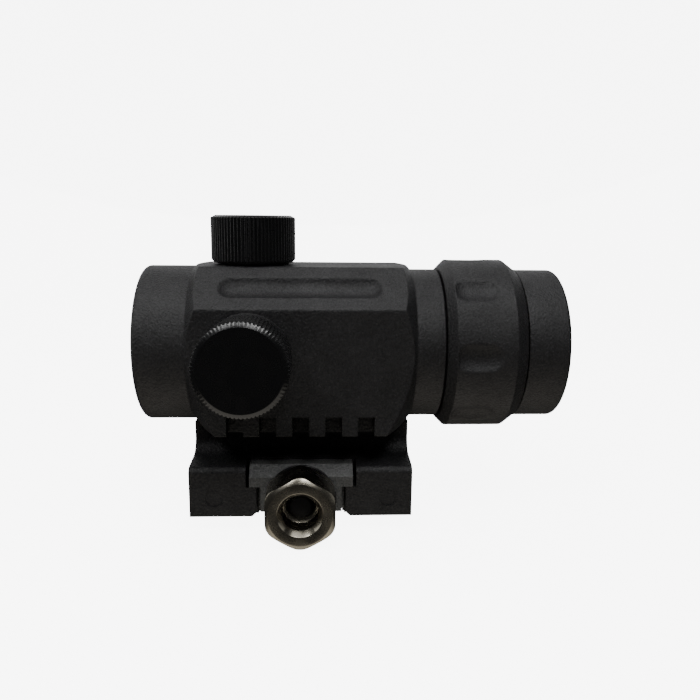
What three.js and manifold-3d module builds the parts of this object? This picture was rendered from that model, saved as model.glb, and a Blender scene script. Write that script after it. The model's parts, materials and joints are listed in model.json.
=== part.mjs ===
// Compact tube red dot sight on a rail riser, as separate solids in one frame.
//
// Millimetres, +Z up. +X runs along the optical axis towards the objective, -Y is the side with the side
// turret and the clamp nut. The origin is the centre of the flat seat that rests on the rail's top face.
// Tube parts are built about the optical axis, and turret parts about their own outward axis.

import * as THREE from 'three';
import { mergeVertices } from 'three/addons/utils/BufferGeometryUtils.js';
import Module from 'manifold-3d';

const wasm = await Module();
wasm.setup();

// ---------------------------------------------------------------- driving dimensions

const SEAT_GAP = 0.06; // between faces that rest on each other
const AXIS_Z = 28.0; // optical axis above the rail seat

// Housing, along the optical axis
const BELL_REAR_X = -32.0;
const BELL_R = 16.0;
const BELL_EDGE = 2.0; // rounding of the rear rim
const BODY_REAR_X = -21.8; // where the rear cone meets the bell
const BODY_FRONT_X = 22.4; // where the front cone meets the neck
const CONE_RUN = 0.8; // axial run of the end cones for each millimetre of radius
const NECK_R = 15.5;
const NOSE_X = 28.0; // front face of the neck, behind the brightness ring
const NOSE_R = 14.3; // journal that the brightness ring turns on
const NOSE_STEP_X = 35.2;
const NOSE_FRONT_R = 13.9;
const NOSE_END_X = 43.6;
const SEAL_GROOVE_R = 13.1;
const SEAL_GROOVE_START_X = 29.9;
const SEAL_GROOVE_END_X = 31.3;
const TUBE_BORE_R = 12.9;

// Housing, across the optical axis
const BODY_HALF_WIDTH = 16.2;
const BODY_TOP = 16.4;
const BODY_TOP_HALF_WIDTH = 8.2;
const BODY_SHOULDER_Z = 9.0; // upper edge of the side flats
const BODY_BOTTOM = -15.8;
const EDGE_CHAMFER = 0.3;
const FLUTE_LENGTH = 31.6;
const FLUTE_WIDTH = 5.0;
const FLUTE_DEPTH = 1.1;
const SLOT_COUNT = 5;
const SLOT_PITCH = 6.35;
const SLOT_WIDTH = 3.2;
const SLOT_HEIGHT = 3.9;
const SLOT_DEPTH = 3.0;

// Windows and their threaded rings
const WINDOW_R = 13.3;
const WINDOW_SEAT_R = 13.45;
const WINDOW_THICKNESS = 1.8;
const WINDOW_CROWN = 0.25;
const REAR_SEAT_X = -24.2; // shoulder that the rear window sits against
const FRONT_SEAT_X = 45.2; // shoulder that the objective window sits against
const LOCK_RING_LENGTH = 1.6;
const LOCK_RING_BORE_R = 11.9;
const LOCK_RING_NOTCH_WIDTH = 1.6;
const LOCK_RING_NOTCH_DEPTH = 0.9;

// Objective bell and brightness ring
const OBJECTIVE_REAR_X = 44.2;
const OBJECTIVE_FRONT_X = 52.6;
const OBJECTIVE_R = 15.5;
const OBJECTIVE_EDGE = 1.8; // rounding of the front rim
const SPIGOT_START_X = 38.2;
const SPIGOT_R = 12.8;
const SPIGOT_BORE_R = 11.8;
const RING_REAR_X = 28.25;
const RING_FRONT_X = 43.9;
const RING_R = 17.6;
const RING_BORE_R = 14.38;
const RING_CHAMBER_R = 15.2;
const RING_CHAMBER_X = 35.5;
const RING_REAR_R = 15.9; // outer radius where the rear bevel starts
const RING_FRONT_R = 15.75;
const RING_FLAT_START_X = 29.9;
const RING_FLAT_END_X = 41.4;
const DIMPLE_COUNT = 8;
const DIMPLE_CUTTER_R = 5.5;
const DIMPLE_DEPTH = 0.8;
const DIMPLE_START_X = 32.3; // centres of the cutter's two rounded ends
const DIMPLE_END_X = 35.9;
const CLICK_COUNT = 12;
const CLICK_X = 37.2;

// Collimator tube on its gimbal
const GIMBAL_X = 19.0;
const INNER_TUBE_R = 11.6;
const INNER_BORE_R = 10.5;
const INNER_REAR_X = -23.0;
const INNER_FRONT_X = 24.0;
const LENS_SEAT_X = 20.7;
const LENS_SEAT_R = 11.05;
const GIMBAL_RING_R = 12.7;
const GIMBAL_RING_BORE_R = 11.8;
const GIMBAL_RING_HALF = 1.5;
const GIMBAL_PIN_R = 0.6;
const PIN_CLEARANCE = 0.06;

// Turrets: heights are measured outward from the face that the turret stands on
const TURRET_X = -10.0;
const ELEVATION_BASE = BODY_TOP;
const WINDAGE_BASE = 18.9; // face of the round boss on the side flat
const WINDAGE_BOSS_R = 8.2;
const BUSH_R = 6.5;
const BUSH_SHANK_R = 3.5;
const BUSH_HEIGHT = 5.0;
const BUSH_BORE_R = 2.1;
const DIAL_R = 5.0;
const PLUNGER_R = 2.02;
const CAP_R = 8.6;
const CAP_FOOT = 0.4;
const CAP_TOP = 9.9;
const CAP_BEVEL = 0.9;
const CAP_BORE_R = 6.75;
const CAP_SEAL_R = 7.8;
const KNURL_COUNT = 36;
const KNURL_DEPTH = 0.3;

// Battery compartment on the far side
const BATTERY_X = 4.0;
const BATTERY_Z = -1.0; // from the optical axis
const BATTERY_BOSS_R = 11.3;
const BATTERY_BOSS_TOP = 20.2;
const BATTERY_POCKET_R = 10.3;
const BATTERY_POCKET_FLOOR = 16.3;
const BATTERY_CAP_R = 12.3;
const BATTERY_CAP_FOOT = 17.7;
const BATTERY_CAP_TOP = 23.4;
const CELL_R = 10.0;
const CELL_THICKNESS = 3.2;

// Riser and clamp, heights from the rail seat
const RISER_HALF_LENGTH = 22.2;
const NECK_HALF_WIDTH = 5.4;
const BLOCK_HALF_WIDTH = 14.6;
const BLOCK_BOTTOM = -5.05;
const SHOULDER_HEIGHT = 5.5;
const RAIL_HALF_WIDTH = 10.6; // widest part of a 21.2 mm accessory rail
const RAIL_WIDEST_Z = -2.77;
const CHANNEL_HALF_WIDTH = 10.8;
const BOLT_Z = -1.0;
const BOLT_R = 2.45;
const BOLT_END_Y = -19.3;
const BOLT_HEAD_R = 3.6;
const BOLT_HEAD_Y = 12.9;
const BOLT_HEAD_END_Y = 15.4;
const BOLT_FLAT_Z = -2.95;
const JAW_FACE_Y = -14.7;
const JAW_TOP = 5.3;
const JAW_STEP = 1.3;
const JAW_BOTTOM = -3.9;
const JAW_HALF_WIDE = 10.3;
const JAW_HALF_NARROW = 8.5;
const JAW_SLOT_HALF_WIDE = 11.0;
const JAW_SLOT_HALF_NARROW = 8.9;
const NUT_FLATS = 13.4;
const NUT_CORNER_R = 7.25;
const NUT_REAR_Y = -15.35;
const NUT_FACE_Y = -23.1;
const NUT_RECESS_R = 4.4;
const NUT_THREAD_Y = -18.1; // outer end of the threaded bore, inside the recess
const WASHER_R = 7.0;
const WASHER_GAP = 0.1; // play on each face of the washer
const SCREW_X = 15.0;
const SCREW_HEAD_R = 2.75;
const SCREW_SHANK_R = 1.5;
const SCREW_HEAD_TOP = 2.4;
const WITNESS_X = 17.3; // shallow round tool marks on the claws
const WITNESS_Z = -1.1;
const WITNESS_R = 1.8;
const WITNESS_DEPTH = 0.15;

// ---------------------------------------------------------------- solids

function signedVolume(positions, triangles) {
  const corner = [new THREE.Vector3(), new THREE.Vector3(), new THREE.Vector3()];
  let volume = 0;
  for (let i = 0; i < triangles.length; i += 3) {
    for (let k = 0; k < 3; k += 1) {
      corner[k].fromArray(positions, 3 * triangles[i + k]);
    }
    volume += corner[0].dot(corner[1].cross(corner[2])) / 6;
  }
  return volume;
}

function toSolid(geometry) {
  const bare = new THREE.BufferGeometry();
  bare.setAttribute('position', geometry.getAttribute('position'));
  bare.setIndex(geometry.getIndex());
  const merged = mergeVertices(bare, 1e-4);
  const positions = new Float32Array(merged.getAttribute('position').array);
  const index = merged.getIndex().array;
  const triangles = [];
  for (let i = 0; i < index.length; i += 3) {
    const [a, b, c] = index.slice(i, i + 3);
    if (a !== b && b !== c && c !== a) {
      triangles.push(a, b, c);
    }
  }
  if (signedVolume(positions, triangles) < 0) {
    triangles.reverse();
  }
  const mesh = new wasm.Mesh({ numProp: 3, vertProperties: positions, triVerts: new Uint32Array(triangles) });
  return new wasm.Manifold(mesh);
}

function toGeometry(solid) {
  const mesh = solid.getMesh();
  const geometry = new THREE.BufferGeometry();
  geometry.setAttribute('position', new THREE.BufferAttribute(new Float32Array(mesh.vertProperties), 3));
  geometry.setIndex(new THREE.BufferAttribute(new Uint32Array(mesh.triVerts), 1));
  geometry.computeVertexNormals();
  return geometry;
}

function join(...solids) {
  return solids.reduce((whole, next) => whole.add(next));
}

function cut(solid, ...tools) {
  return tools.reduce((rest, tool) => rest.subtract(tool), solid);
}

// Points on an arc, from one angle to another in degrees, both ends included
function arc(centreU, centreV, radius, from, to, steps) {
  const points = [];
  for (let i = 0; i <= steps; i += 1) {
    const angle = THREE.MathUtils.degToRad(from + ((to - from) * i) / steps);
    points.push([centreU + radius * Math.cos(angle), centreV + radius * Math.sin(angle)]);
  }
  return points;
}

// A lathe geometry about +Y from points of [radius, height]
function lathe(profile, segments) {
  const points = profile.map(([radius, height]) => new THREE.Vector2(radius, height));
  const openEnds = profile[0][0] === 0 && profile[profile.length - 1][0] === 0;
  if (!openEnds) {
    points.push(points[0].clone());
  }
  return new THREE.LatheGeometry(points, segments);
}

// Solids of revolution about +X and about +Z
function revolveX(profile, segments = 40) {
  return toSolid(lathe(profile, segments).rotateZ(-Math.PI / 2));
}

function revolveZ(profile, segments = 24) {
  return toSolid(lathe(profile, segments).rotateX(Math.PI / 2));
}

// A rod along a direction, from one distance to another
function rodX(radius, x0, x1, y, z, segments = 24) {
  return revolveX([[0, x0], [radius, x0], [radius, x1], [0, x1]], segments).translate([0, y, z]);
}

function rodY(radius, y0, y1, x, z, segments = 24) {
  const rod = new THREE.CylinderGeometry(radius, radius, y1 - y0, segments);
  return toSolid(rod.translate(x, (y0 + y1) / 2, z));
}

function rodZ(radius, z0, z1, x, y, segments = 24) {
  return revolveZ([[0, z0], [radius, z0], [radius, z1], [0, z1]], segments).translate([x, y, 0]);
}

function box(x0, x1, y0, y1, z0, z1) {
  const geometry = new THREE.BoxGeometry(x1 - x0, y1 - y0, z1 - z0);
  return toSolid(geometry.translate((x0 + x1) / 2, (y0 + y1) / 2, (z0 + z1) / 2));
}

function extrude(outline, depth) {
  const shape = new THREE.Shape(outline.map(([u, v]) => new THREE.Vector2(u, v)));
  return new THREE.ExtrudeGeometry(shape, { depth, bevelEnabled: false });
}

// An outline of [y, z] points extruded from x0 to x1
function prismX(outline, x0, x1) {
  const turn = new THREE.Matrix4().makeBasis(
    new THREE.Vector3(0, 1, 0),
    new THREE.Vector3(0, 0, 1),
    new THREE.Vector3(1, 0, 0),
  );
  return toSolid(extrude(outline, x1 - x0).applyMatrix4(turn).translate(x0, 0, 0));
}

// An outline of [x, z] points extruded from y0 to y1
function prismY(outline, y0, y1) {
  return toSolid(extrude(outline, y1 - y0).rotateX(Math.PI / 2).translate(0, y1, 0));
}

// An outline of [x, y] points extruded from z0 to z1
function prismZ(outline, z0, z1) {
  return toSolid(extrude(outline, z1 - z0).translate(0, 0, z0));
}

// A capsule whose straight middle runs along X
function capsuleX(radius, x0, x1, y, z) {
  const capsule = new THREE.CapsuleGeometry(radius, x1 - x0, 3, 16);
  return toSolid(capsule.rotateZ(Math.PI / 2).translate((x0 + x1) / 2, y, z));
}

// A ring of round section about +Z
function torusZ(major, minor, height, segments = 24) {
  return revolveZ(arc(major, height, minor, 0, 288, 4), segments);
}

function bevelCorners(outline, size) {
  const result = [];
  const count = outline.length;
  outline.forEach((point, i) => {
    for (const other of [outline[(i + count - 1) % count], outline[(i + 1) % count]]) {
      const run = [other[0] - point[0], other[1] - point[1]];
      const share = size / Math.hypot(run[0], run[1]);
      result.push([point[0] + run[0] * share, point[1] + run[1] * share]);
    }
  });
  return result;
}

function mirrorY(outline) {
  return outline.map(([y, z]) => [-y, z]).reverse();
}

// Moves a solid built about +Z onto the elevation, windage or battery axis of the tube
function toElevation(solid) {
  return solid.translate([TURRET_X, 0, 0]);
}

function toWindage(solid) {
  return solid.rotate([90, 0, 0]).translate([TURRET_X, 0, 0]);
}

function toBattery(solid) {
  return solid.rotate([-90, 0, 0]).translate([BATTERY_X, 0, BATTERY_Z]);
}

// ---------------------------------------------------------------- finishes

const finishes = {
  blastedBlack: { color: 0x2c2c2e, roughness: 0.62, metalness: 0.35 },
  satinBlack: { color: 0x1b1b1e, roughness: 0.38, metalness: 0.45 },
  blackNickel: { color: 0x4a4642, roughness: 0.28, metalness: 0.95 },
  blastedSteel: { color: 0x6d7070, roughness: 0.55, metalness: 0.8 },
  blackOxide: { color: 0x232325, roughness: 0.5, metalness: 0.7 },
  brass: { color: 0xb08d4a, roughness: 0.35, metalness: 0.95 },
  springSteel: { color: 0x8c8f92, roughness: 0.3, metalness: 0.95 },
  rubber: { color: 0x141414, roughness: 0.9, metalness: 0.0 },
  clearGlass: { color: 0xbfd4cf, roughness: 0.05, metalness: 0.0 },
  coatedGlass: { color: 0xa8452f, roughness: 0.05, metalness: 0.1 },
  circuit: { color: 0x1f5a36, roughness: 0.6, metalness: 0.1 },
  emitter: { color: 0xd23a2a, roughness: 0.3, metalness: 0.0 },
  cellSteel: { color: 0xb9bcbd, roughness: 0.28, metalness: 0.95 },
};

const sight = new THREE.Group();
const tube = new THREE.Group();
tube.position.z = AXIS_Z;
sight.add(tube);

function place(group, name, solid, finish) {
  const mesh = new THREE.Mesh(toGeometry(solid), new THREE.MeshStandardMaterial(finishes[finish]));
  mesh.name = name;
  group.add(mesh);
}

// ---------------------------------------------------------------- main housing

function bodyBlock() {
  const side = [
    [BODY_HALF_WIDTH, BODY_BOTTOM],
    [BODY_HALF_WIDTH, BODY_SHOULDER_Z],
    [BODY_TOP_HALF_WIDTH, BODY_TOP],
  ];
  const section = bevelCorners([...side, ...mirrorY(side)], EDGE_CHAMFER);
  const reach = 24 - BELL_R;
  const ends = revolveX([
    [0, BODY_REAR_X],
    [BELL_R, BODY_REAR_X],
    [BELL_R + reach, BODY_REAR_X + CONE_RUN * reach],
    [BELL_R + reach, BODY_FRONT_X - CONE_RUN * (BELL_R + reach - NECK_R)],
    [NECK_R, BODY_FRONT_X],
    [0, BODY_FRONT_X],
  ]);
  return prismX(section, BODY_REAR_X - 1, BODY_FRONT_X + 1).intersect(ends);
}

function housingTurning() {
  return revolveX([
    [0, BELL_REAR_X],
    ...arc(BELL_R - BELL_EDGE, BELL_REAR_X + BELL_EDGE, BELL_EDGE, -90, 0, 3),
    [BELL_R, BODY_REAR_X + 0.2],
    [NECK_R, BODY_REAR_X + 0.5],
    [NECK_R, NOSE_X - 0.3],
    [NECK_R - 0.3, NOSE_X],
    [NOSE_R, NOSE_X],
    [NOSE_R, NOSE_STEP_X],
    [NOSE_FRONT_R, NOSE_STEP_X],
    [NOSE_FRONT_R, NOSE_END_X],
    [0, NOSE_END_X],
  ]);
}

function housingBore() {
  return revolveX([
    [0, BELL_REAR_X - 1],
    [WINDOW_SEAT_R + 0.4, BELL_REAR_X - 1],
    [WINDOW_SEAT_R + 0.4, BELL_REAR_X],
    [WINDOW_SEAT_R, BELL_REAR_X + 0.4],
    [WINDOW_SEAT_R, REAR_SEAT_X],
    [TUBE_BORE_R, REAR_SEAT_X],
    [TUBE_BORE_R, NOSE_END_X + 1],
    [0, NOSE_END_X + 1],
  ]);
}

// The two long flutes lie along the middle of the upper facets
function fluteCutters() {
  const run = [BODY_HALF_WIDTH - BODY_TOP_HALF_WIDTH, BODY_SHOULDER_Z - BODY_TOP];
  const length = Math.hypot(run[0], run[1]);
  const normal = [-run[1] / length, run[0] / length];
  const radius = (FLUTE_WIDTH ** 2 / 4 + FLUTE_DEPTH ** 2) / (2 * FLUTE_DEPTH);
  const lift = radius - FLUTE_DEPTH;
  const y = (BODY_HALF_WIDTH + BODY_TOP_HALF_WIDTH) / 2 + normal[0] * lift;
  const z = (BODY_SHOULDER_Z + BODY_TOP) / 2 + normal[1] * lift;
  const half = FLUTE_LENGTH / 2 - FLUTE_WIDTH / 2;
  return [-1, 1].map((side) => capsuleX(radius, -half, half, side * y, z));
}

function sideSlotCutters() {
  const cutters = [];
  for (const side of [-1, 1]) {
    const inner = side * (BODY_HALF_WIDTH - SLOT_DEPTH);
    const outer = side * (BODY_HALF_WIDTH + 1);
    for (let i = 0; i < SLOT_COUNT; i += 1) {
      const x = (i - (SLOT_COUNT - 1) / 2) * SLOT_PITCH;
      cutters.push(box(
        x - SLOT_WIDTH / 2,
        x + SLOT_WIDTH / 2,
        Math.min(inner, outer),
        Math.max(inner, outer),
        BODY_BOTTOM - 1,
        BODY_BOTTOM + SLOT_HEIGHT,
      ));
    }
  }
  return cutters;
}

function makeHousing() {
  const windageBoss = toWindage(rodZ(WINDAGE_BOSS_R, 14, WINDAGE_BASE, 0, 0, 36));
  const batteryBoss = toBattery(rodZ(BATTERY_BOSS_R, 14, BATTERY_BOSS_TOP, 0, 0, 36));
  const pocketMouth = BATTERY_BOSS_TOP + 1;
  const batteryPocket = toBattery(rodZ(BATTERY_POCKET_R, BATTERY_POCKET_FLOOR, pocketMouth, 0, 0, 36));
  const turretBore = rodZ(BUSH_SHANK_R + PIN_CLEARANCE, 9, WINDAGE_BASE + 1, 0, 0, 24);
  const screwHoles = [-SCREW_X, SCREW_X].map((x) => rodZ(1.6, BODY_BOTTOM - 1, -13.6, x, 0, 16));
  const sealGroove = revolveX([
    [SEAL_GROOVE_R, SEAL_GROOVE_START_X],
    [NECK_R, SEAL_GROOVE_START_X],
    [NECK_R, SEAL_GROOVE_END_X],
    [SEAL_GROOVE_R, SEAL_GROOVE_END_X],
  ]);
  const fluted = cut(bodyBlock(), ...fluteCutters(), ...sideSlotCutters());
  const whole = join(housingTurning(), fluted, windageBoss, batteryBoss);
  return cut(
    whole,
    housingBore(),
    sealGroove,
    batteryPocket,
    toElevation(turretBore),
    toWindage(turretBore),
    rodY(GIMBAL_PIN_R + PIN_CLEARANCE, -14.5, 14.5, GIMBAL_X, 0, 16),
    ...screwHoles,
  );
}

place(tube, 'main_housing', makeHousing(), 'blastedBlack');

// ---------------------------------------------------------------- windows and lock rings

// A round window, slightly domed towards the outside
function makeWindow() {
  return revolveX([
    [0, WINDOW_CROWN],
    [WINDOW_R - 0.4, 0],
    [WINDOW_R, 0.2],
    [WINDOW_R, WINDOW_THICKNESS - 0.2],
    [WINDOW_R - 0.4, WINDOW_THICKNESS],
    [0, WINDOW_THICKNESS + WINDOW_CROWN],
  ]);
}

// A threaded ring with two notches across its outer face for a spanner
function makeLockRing() {
  const ring = revolveX([
    [LOCK_RING_BORE_R, 0],
    [WINDOW_R, 0],
    [WINDOW_R, LOCK_RING_LENGTH],
    [LOCK_RING_BORE_R + 0.5, LOCK_RING_LENGTH],
    [LOCK_RING_BORE_R, LOCK_RING_LENGTH - 0.5],
  ]);
  const halfNotch = LOCK_RING_NOTCH_WIDTH / 2;
  const notchFloor = LOCK_RING_LENGTH - LOCK_RING_NOTCH_DEPTH;
  return cut(ring, box(notchFloor, LOCK_RING_LENGTH + 1, -WINDOW_R - 1, WINDOW_R + 1, -halfNotch, halfNotch));
}

function facingRear(solid, x) {
  return solid.rotate([0, 180, 0]).translate([x, 0, 0]);
}

function facingFront(solid, x) {
  return solid.translate([x, 0, 0]);
}

const windowLift = SEAT_GAP;
const ringLift = WINDOW_THICKNESS + 2 * SEAT_GAP;
place(tube, 'rear_window', facingRear(makeWindow(), REAR_SEAT_X - windowLift), 'clearGlass');
place(tube, 'rear_retaining_ring', facingRear(makeLockRing(), REAR_SEAT_X - ringLift), 'satinBlack');
place(tube, 'objective_window', facingFront(makeWindow(), FRONT_SEAT_X + windowLift), 'coatedGlass');
place(tube, 'objective_retaining_ring', facingFront(makeLockRing(), FRONT_SEAT_X + ringLift), 'satinBlack');

// ---------------------------------------------------------------- objective bell

function makeObjectiveBell() {
  return revolveX([
    [SPIGOT_BORE_R, SPIGOT_START_X],
    [SPIGOT_R, SPIGOT_START_X],
    [SPIGOT_R, OBJECTIVE_REAR_X],
    [OBJECTIVE_R - 0.2, OBJECTIVE_REAR_X],
    [OBJECTIVE_R, OBJECTIVE_REAR_X + 0.2],
    ...arc(OBJECTIVE_R - OBJECTIVE_EDGE, OBJECTIVE_FRONT_X - OBJECTIVE_EDGE, OBJECTIVE_EDGE, 0, 90, 3),
    [WINDOW_SEAT_R + 0.15, OBJECTIVE_FRONT_X],
    [WINDOW_SEAT_R, OBJECTIVE_FRONT_X - 0.3],
    [WINDOW_SEAT_R, FRONT_SEAT_X],
    [SPIGOT_BORE_R + 0.3, FRONT_SEAT_X],
    [SPIGOT_BORE_R, FRONT_SEAT_X - 0.5],
  ]);
}

place(tube, 'objective_bell', makeObjectiveBell(), 'blastedBlack');

// ---------------------------------------------------------------- brightness ring

function makeBrightnessRing() {
  const blank = revolveX([
    [RING_BORE_R, RING_REAR_X],
    [RING_REAR_R, RING_REAR_X],
    [RING_R - 0.25, RING_FLAT_START_X - 0.2],
    [RING_R, RING_FLAT_START_X + 0.3],
    [RING_R, RING_FLAT_END_X - 0.3],
    [RING_R - 0.2, RING_FLAT_END_X + 0.2],
    [RING_FRONT_R, RING_FRONT_X],
    [RING_CHAMBER_R, RING_FRONT_X],
    [RING_CHAMBER_R, RING_CHAMBER_X],
    [RING_BORE_R, RING_CHAMBER_X],
  ], 48);
  const cutters = [];
  for (let i = 0; i < DIMPLE_COUNT; i += 1) {
    const angle = (i / DIMPLE_COUNT) * 2 * Math.PI;
    const reach = RING_R - DIMPLE_DEPTH + DIMPLE_CUTTER_R;
    const y = reach * Math.cos(angle);
    const z = reach * Math.sin(angle);
    cutters.push(capsuleX(DIMPLE_CUTTER_R, DIMPLE_START_X, DIMPLE_END_X, y, z));
  }
  for (let i = 0; i < CLICK_COUNT; i += 1) {
    const angle = ((i + 0.5) / CLICK_COUNT) * 2 * Math.PI;
    const y = RING_CHAMBER_R * Math.cos(angle);
    const z = RING_CHAMBER_R * Math.sin(angle);
    cutters.push(rodX(0.45, CLICK_X - 1, CLICK_X + 1, y, z, 6));
  }
  return cut(blank, ...cutters);
}

// A strip bent round the nose: outline of [angle, radius] points swept along X
function bentStrip(inner, outer, x0, x1) {
  const toPoint = ([degrees, radius]) => {
    const angle = THREE.MathUtils.degToRad(degrees);
    return [radius * Math.cos(angle), radius * Math.sin(angle)];
  };
  return prismX([...outer.map(toPoint), ...inner.map(toPoint).reverse()], x0, x1);
}

function makeClickSpring() {
  const foot = NOSE_FRONT_R + 0.1;
  const rise = [0, 0, 0.35, 0.65, 0.35, 0, 0];
  const inner = [-30, -20, -8, 0, 8, 20, 30].map((angle, i) => [angle, foot + rise[i]]);
  const outer = inner.map(([angle, radius]) => [angle, radius + 0.25]);
  return bentStrip(inner, outer, CLICK_X - 0.8, CLICK_X + 0.8);
}

function makeWiper() {
  const root = RING_CHAMBER_R - 0.35;
  const inner = [-12, -6, 0, 6, 12].map((offset) => [90 + offset, root - 0.2]);
  const outer = inner.map(([angle, radius]) => [angle, radius + 0.25]);
  const strap = bentStrip(inner, outer, 38.9, 40.4);
  const finger = box(39.2, 41.9, -0.5, 0.5, root - 0.2, root + 0.02);
  return join(strap, finger);
}

const ringSeal = revolveX(arc(13.72, 30.6, 0.55, 0, 288, 4), 32);
const boardBoreR = NOSE_FRONT_R + 0.12;
const board = revolveX([[boardBoreR, 42.2], [15.0, 42.2], [15.0, 43.1], [boardBoreR, 43.1]], 32);
place(tube, 'brightness_ring', makeBrightnessRing(), 'blastedBlack');
place(tube, 'ring_o_ring', ringSeal, 'rubber');
place(tube, 'click_spring', makeClickSpring().rotate([15, 0, 0]), 'springSteel');
place(tube, 'contact_board', board, 'circuit');
place(tube, 'wiper_contact', makeWiper(), 'brass');

// ---------------------------------------------------------------- collimator tube and gimbal

function makeInnerTube() {
  const shell = revolveX([
    [INNER_BORE_R, INNER_REAR_X],
    [INNER_TUBE_R - 0.3, INNER_REAR_X],
    [INNER_TUBE_R, INNER_REAR_X + 0.3],
    [INNER_TUBE_R, INNER_FRONT_X],
    [LENS_SEAT_R, INNER_FRONT_X],
    [LENS_SEAT_R, LENS_SEAT_X],
    [INNER_BORE_R, LENS_SEAT_X],
  ]);
  const pivots = [-1, 1].map((side) => rodZ(
    GIMBAL_PIN_R + PIN_CLEARANCE,
    side > 0 ? 10.8 : -12.5,
    side > 0 ? 12.5 : -10.8,
    GIMBAL_X,
    0,
    16,
  ));
  return cut(shell, ...pivots);
}

function makeReflectorLens() {
  const radius = LENS_SEAT_R - 0.1;
  return revolveX([
    [0, 21.35],
    [radius, 20.8],
    [radius, 22.5],
    [0, 23.05],
  ], 40);
}

function makeGimbalRing() {
  const ring = revolveX([
    [GIMBAL_RING_BORE_R, GIMBAL_X - GIMBAL_RING_HALF],
    [GIMBAL_RING_R, GIMBAL_X - GIMBAL_RING_HALF],
    [GIMBAL_RING_R, GIMBAL_X + GIMBAL_RING_HALF],
    [GIMBAL_RING_BORE_R, GIMBAL_X + GIMBAL_RING_HALF],
  ]);
  const bore = GIMBAL_PIN_R + PIN_CLEARANCE;
  return cut(
    ring,
    rodY(bore, -14, 14, GIMBAL_X, 0, 16),
    rodZ(bore, -14, 14, GIMBAL_X, 0, 16),
  );
}

// A bowed leaf between the bore and the inner tube, opposite both turrets
function makeReturnSpring() {
  const under = [[-18, 12.35], [-14, 12.22], [-10, 12.15], [-6, 12.22], [-2, 12.35]];
  const over = under.map(([x, height]) => [x, height + 0.28]).reverse();
  return prismY([...under, ...over], -1.5, 1.5).rotate([-135, 0, 0]);
}

const ledHolder = box(-22.5, -18.5, 7.2, 10.1, -2.2, 2.2);
const lampPocket = box(-19.4, -18, 7.9, 9.6, -0.9, 0.9);
place(tube, 'inner_tube', makeInnerTube(), 'satinBlack');
place(tube, 'reflector_lens', makeReflectorLens(), 'coatedGlass');
place(
  tube,
  'reflector_ring',
  revolveX([[9.9, 23.15], [LENS_SEAT_R - 0.1, 23.15], [LENS_SEAT_R - 0.1, 23.9], [9.9, 23.9]], 32),
  'satinBlack',
);
place(tube, 'led_holder', cut(ledHolder, lampPocket), 'satinBlack');
place(tube, 'led_emitter', box(-19.3, -18.3, 8.0, 9.5, -0.8, 0.8), 'emitter');
place(tube, 'gimbal_ring', makeGimbalRing(), 'brass');
place(tube, 'gimbal_pin_left', rodY(GIMBAL_PIN_R, 12.0, 14.4, GIMBAL_X, 0, 16), 'springSteel');
place(tube, 'gimbal_pin_right', rodY(GIMBAL_PIN_R, -14.4, -12.0, GIMBAL_X, 0, 16), 'springSteel');
place(tube, 'gimbal_pin_upper', rodZ(GIMBAL_PIN_R, 10.9, 12.6, GIMBAL_X, 0, 16), 'springSteel');
place(tube, 'gimbal_pin_lower', rodZ(GIMBAL_PIN_R, -12.6, -10.9, GIMBAL_X, 0, 16), 'springSteel');
place(tube, 'return_spring', makeReturnSpring(), 'springSteel');

// ---------------------------------------------------------------- turrets

function makeBush(base) {
  return revolveZ([
    [BUSH_BORE_R, 13.2],
    [BUSH_SHANK_R, 13.2],
    [BUSH_SHANK_R, base + SEAT_GAP],
    [BUSH_R, base + SEAT_GAP],
    [BUSH_R, base + BUSH_HEIGHT],
    [DIAL_R + 0.15, base + BUSH_HEIGHT],
    [DIAL_R + 0.15, base + 3.0],
    [BUSH_BORE_R, base + 3.0],
  ], 24);
}

function makeDial(base) {
  const body = revolveZ([
    [0, base + 0.8],
    [BUSH_BORE_R - 0.08, base + 0.8],
    [BUSH_BORE_R - 0.08, base + 3.15],
    [DIAL_R, base + 3.15],
    [DIAL_R, base + 5.0],
    [DIAL_R - 0.4, base + 5.4],
    [0, base + 5.4],
  ], 24);
  const coinSlot = box(-DIAL_R - 1, DIAL_R + 1, -0.6, 0.6, base + 4.4, base + 6);
  return cut(body, coinSlot);
}

function makePlunger(base) {
  const tip = INNER_TUBE_R + 0.15;
  return revolveZ([
    [0, tip],
    [0.9, tip + 0.1],
    [PLUNGER_R, tip + 1.1],
    [PLUNGER_R, base + 0.3],
    [0, base + 0.3],
  ], 24);
}

function knurlOutline() {
  const points = [];
  for (let i = 0; i < KNURL_COUNT; i += 1) {
    for (const [share, radius] of [[0, CAP_R - KNURL_DEPTH], [0.5, CAP_R]]) {
      const angle = ((i + share) / KNURL_COUNT) * 2 * Math.PI;
      points.push([radius * Math.cos(angle), radius * Math.sin(angle)]);
    }
  }
  return points;
}

function makeCap(base) {
  const foot = base + CAP_FOOT;
  const top = base + CAP_TOP;
  const envelope = revolveZ([
    [CAP_BORE_R, foot + 1.2],
    [CAP_SEAL_R, foot + 0.9],
    [CAP_SEAL_R, foot],
    [CAP_R - CAP_BEVEL + 0.3, foot],
    [CAP_R, foot + CAP_BEVEL - 0.3],
    [CAP_R, top - CAP_BEVEL],
    [CAP_R - CAP_BEVEL - 0.1, top],
    [0, top],
    [0, base + 7.6],
    [CAP_BORE_R, base + 7.6],
  ], 24);
  return prismZ(knurlOutline(), base, top + 1).intersect(envelope);
}

function makeTurretSeal(base) {
  return torusZ(7.15, 0.48, base + 0.62);
}

const turrets = [
  { name: 'elevation', base: ELEVATION_BASE, tilt: 0 },
  { name: 'windage', base: WINDAGE_BASE, tilt: Math.PI / 2 },
];

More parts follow.
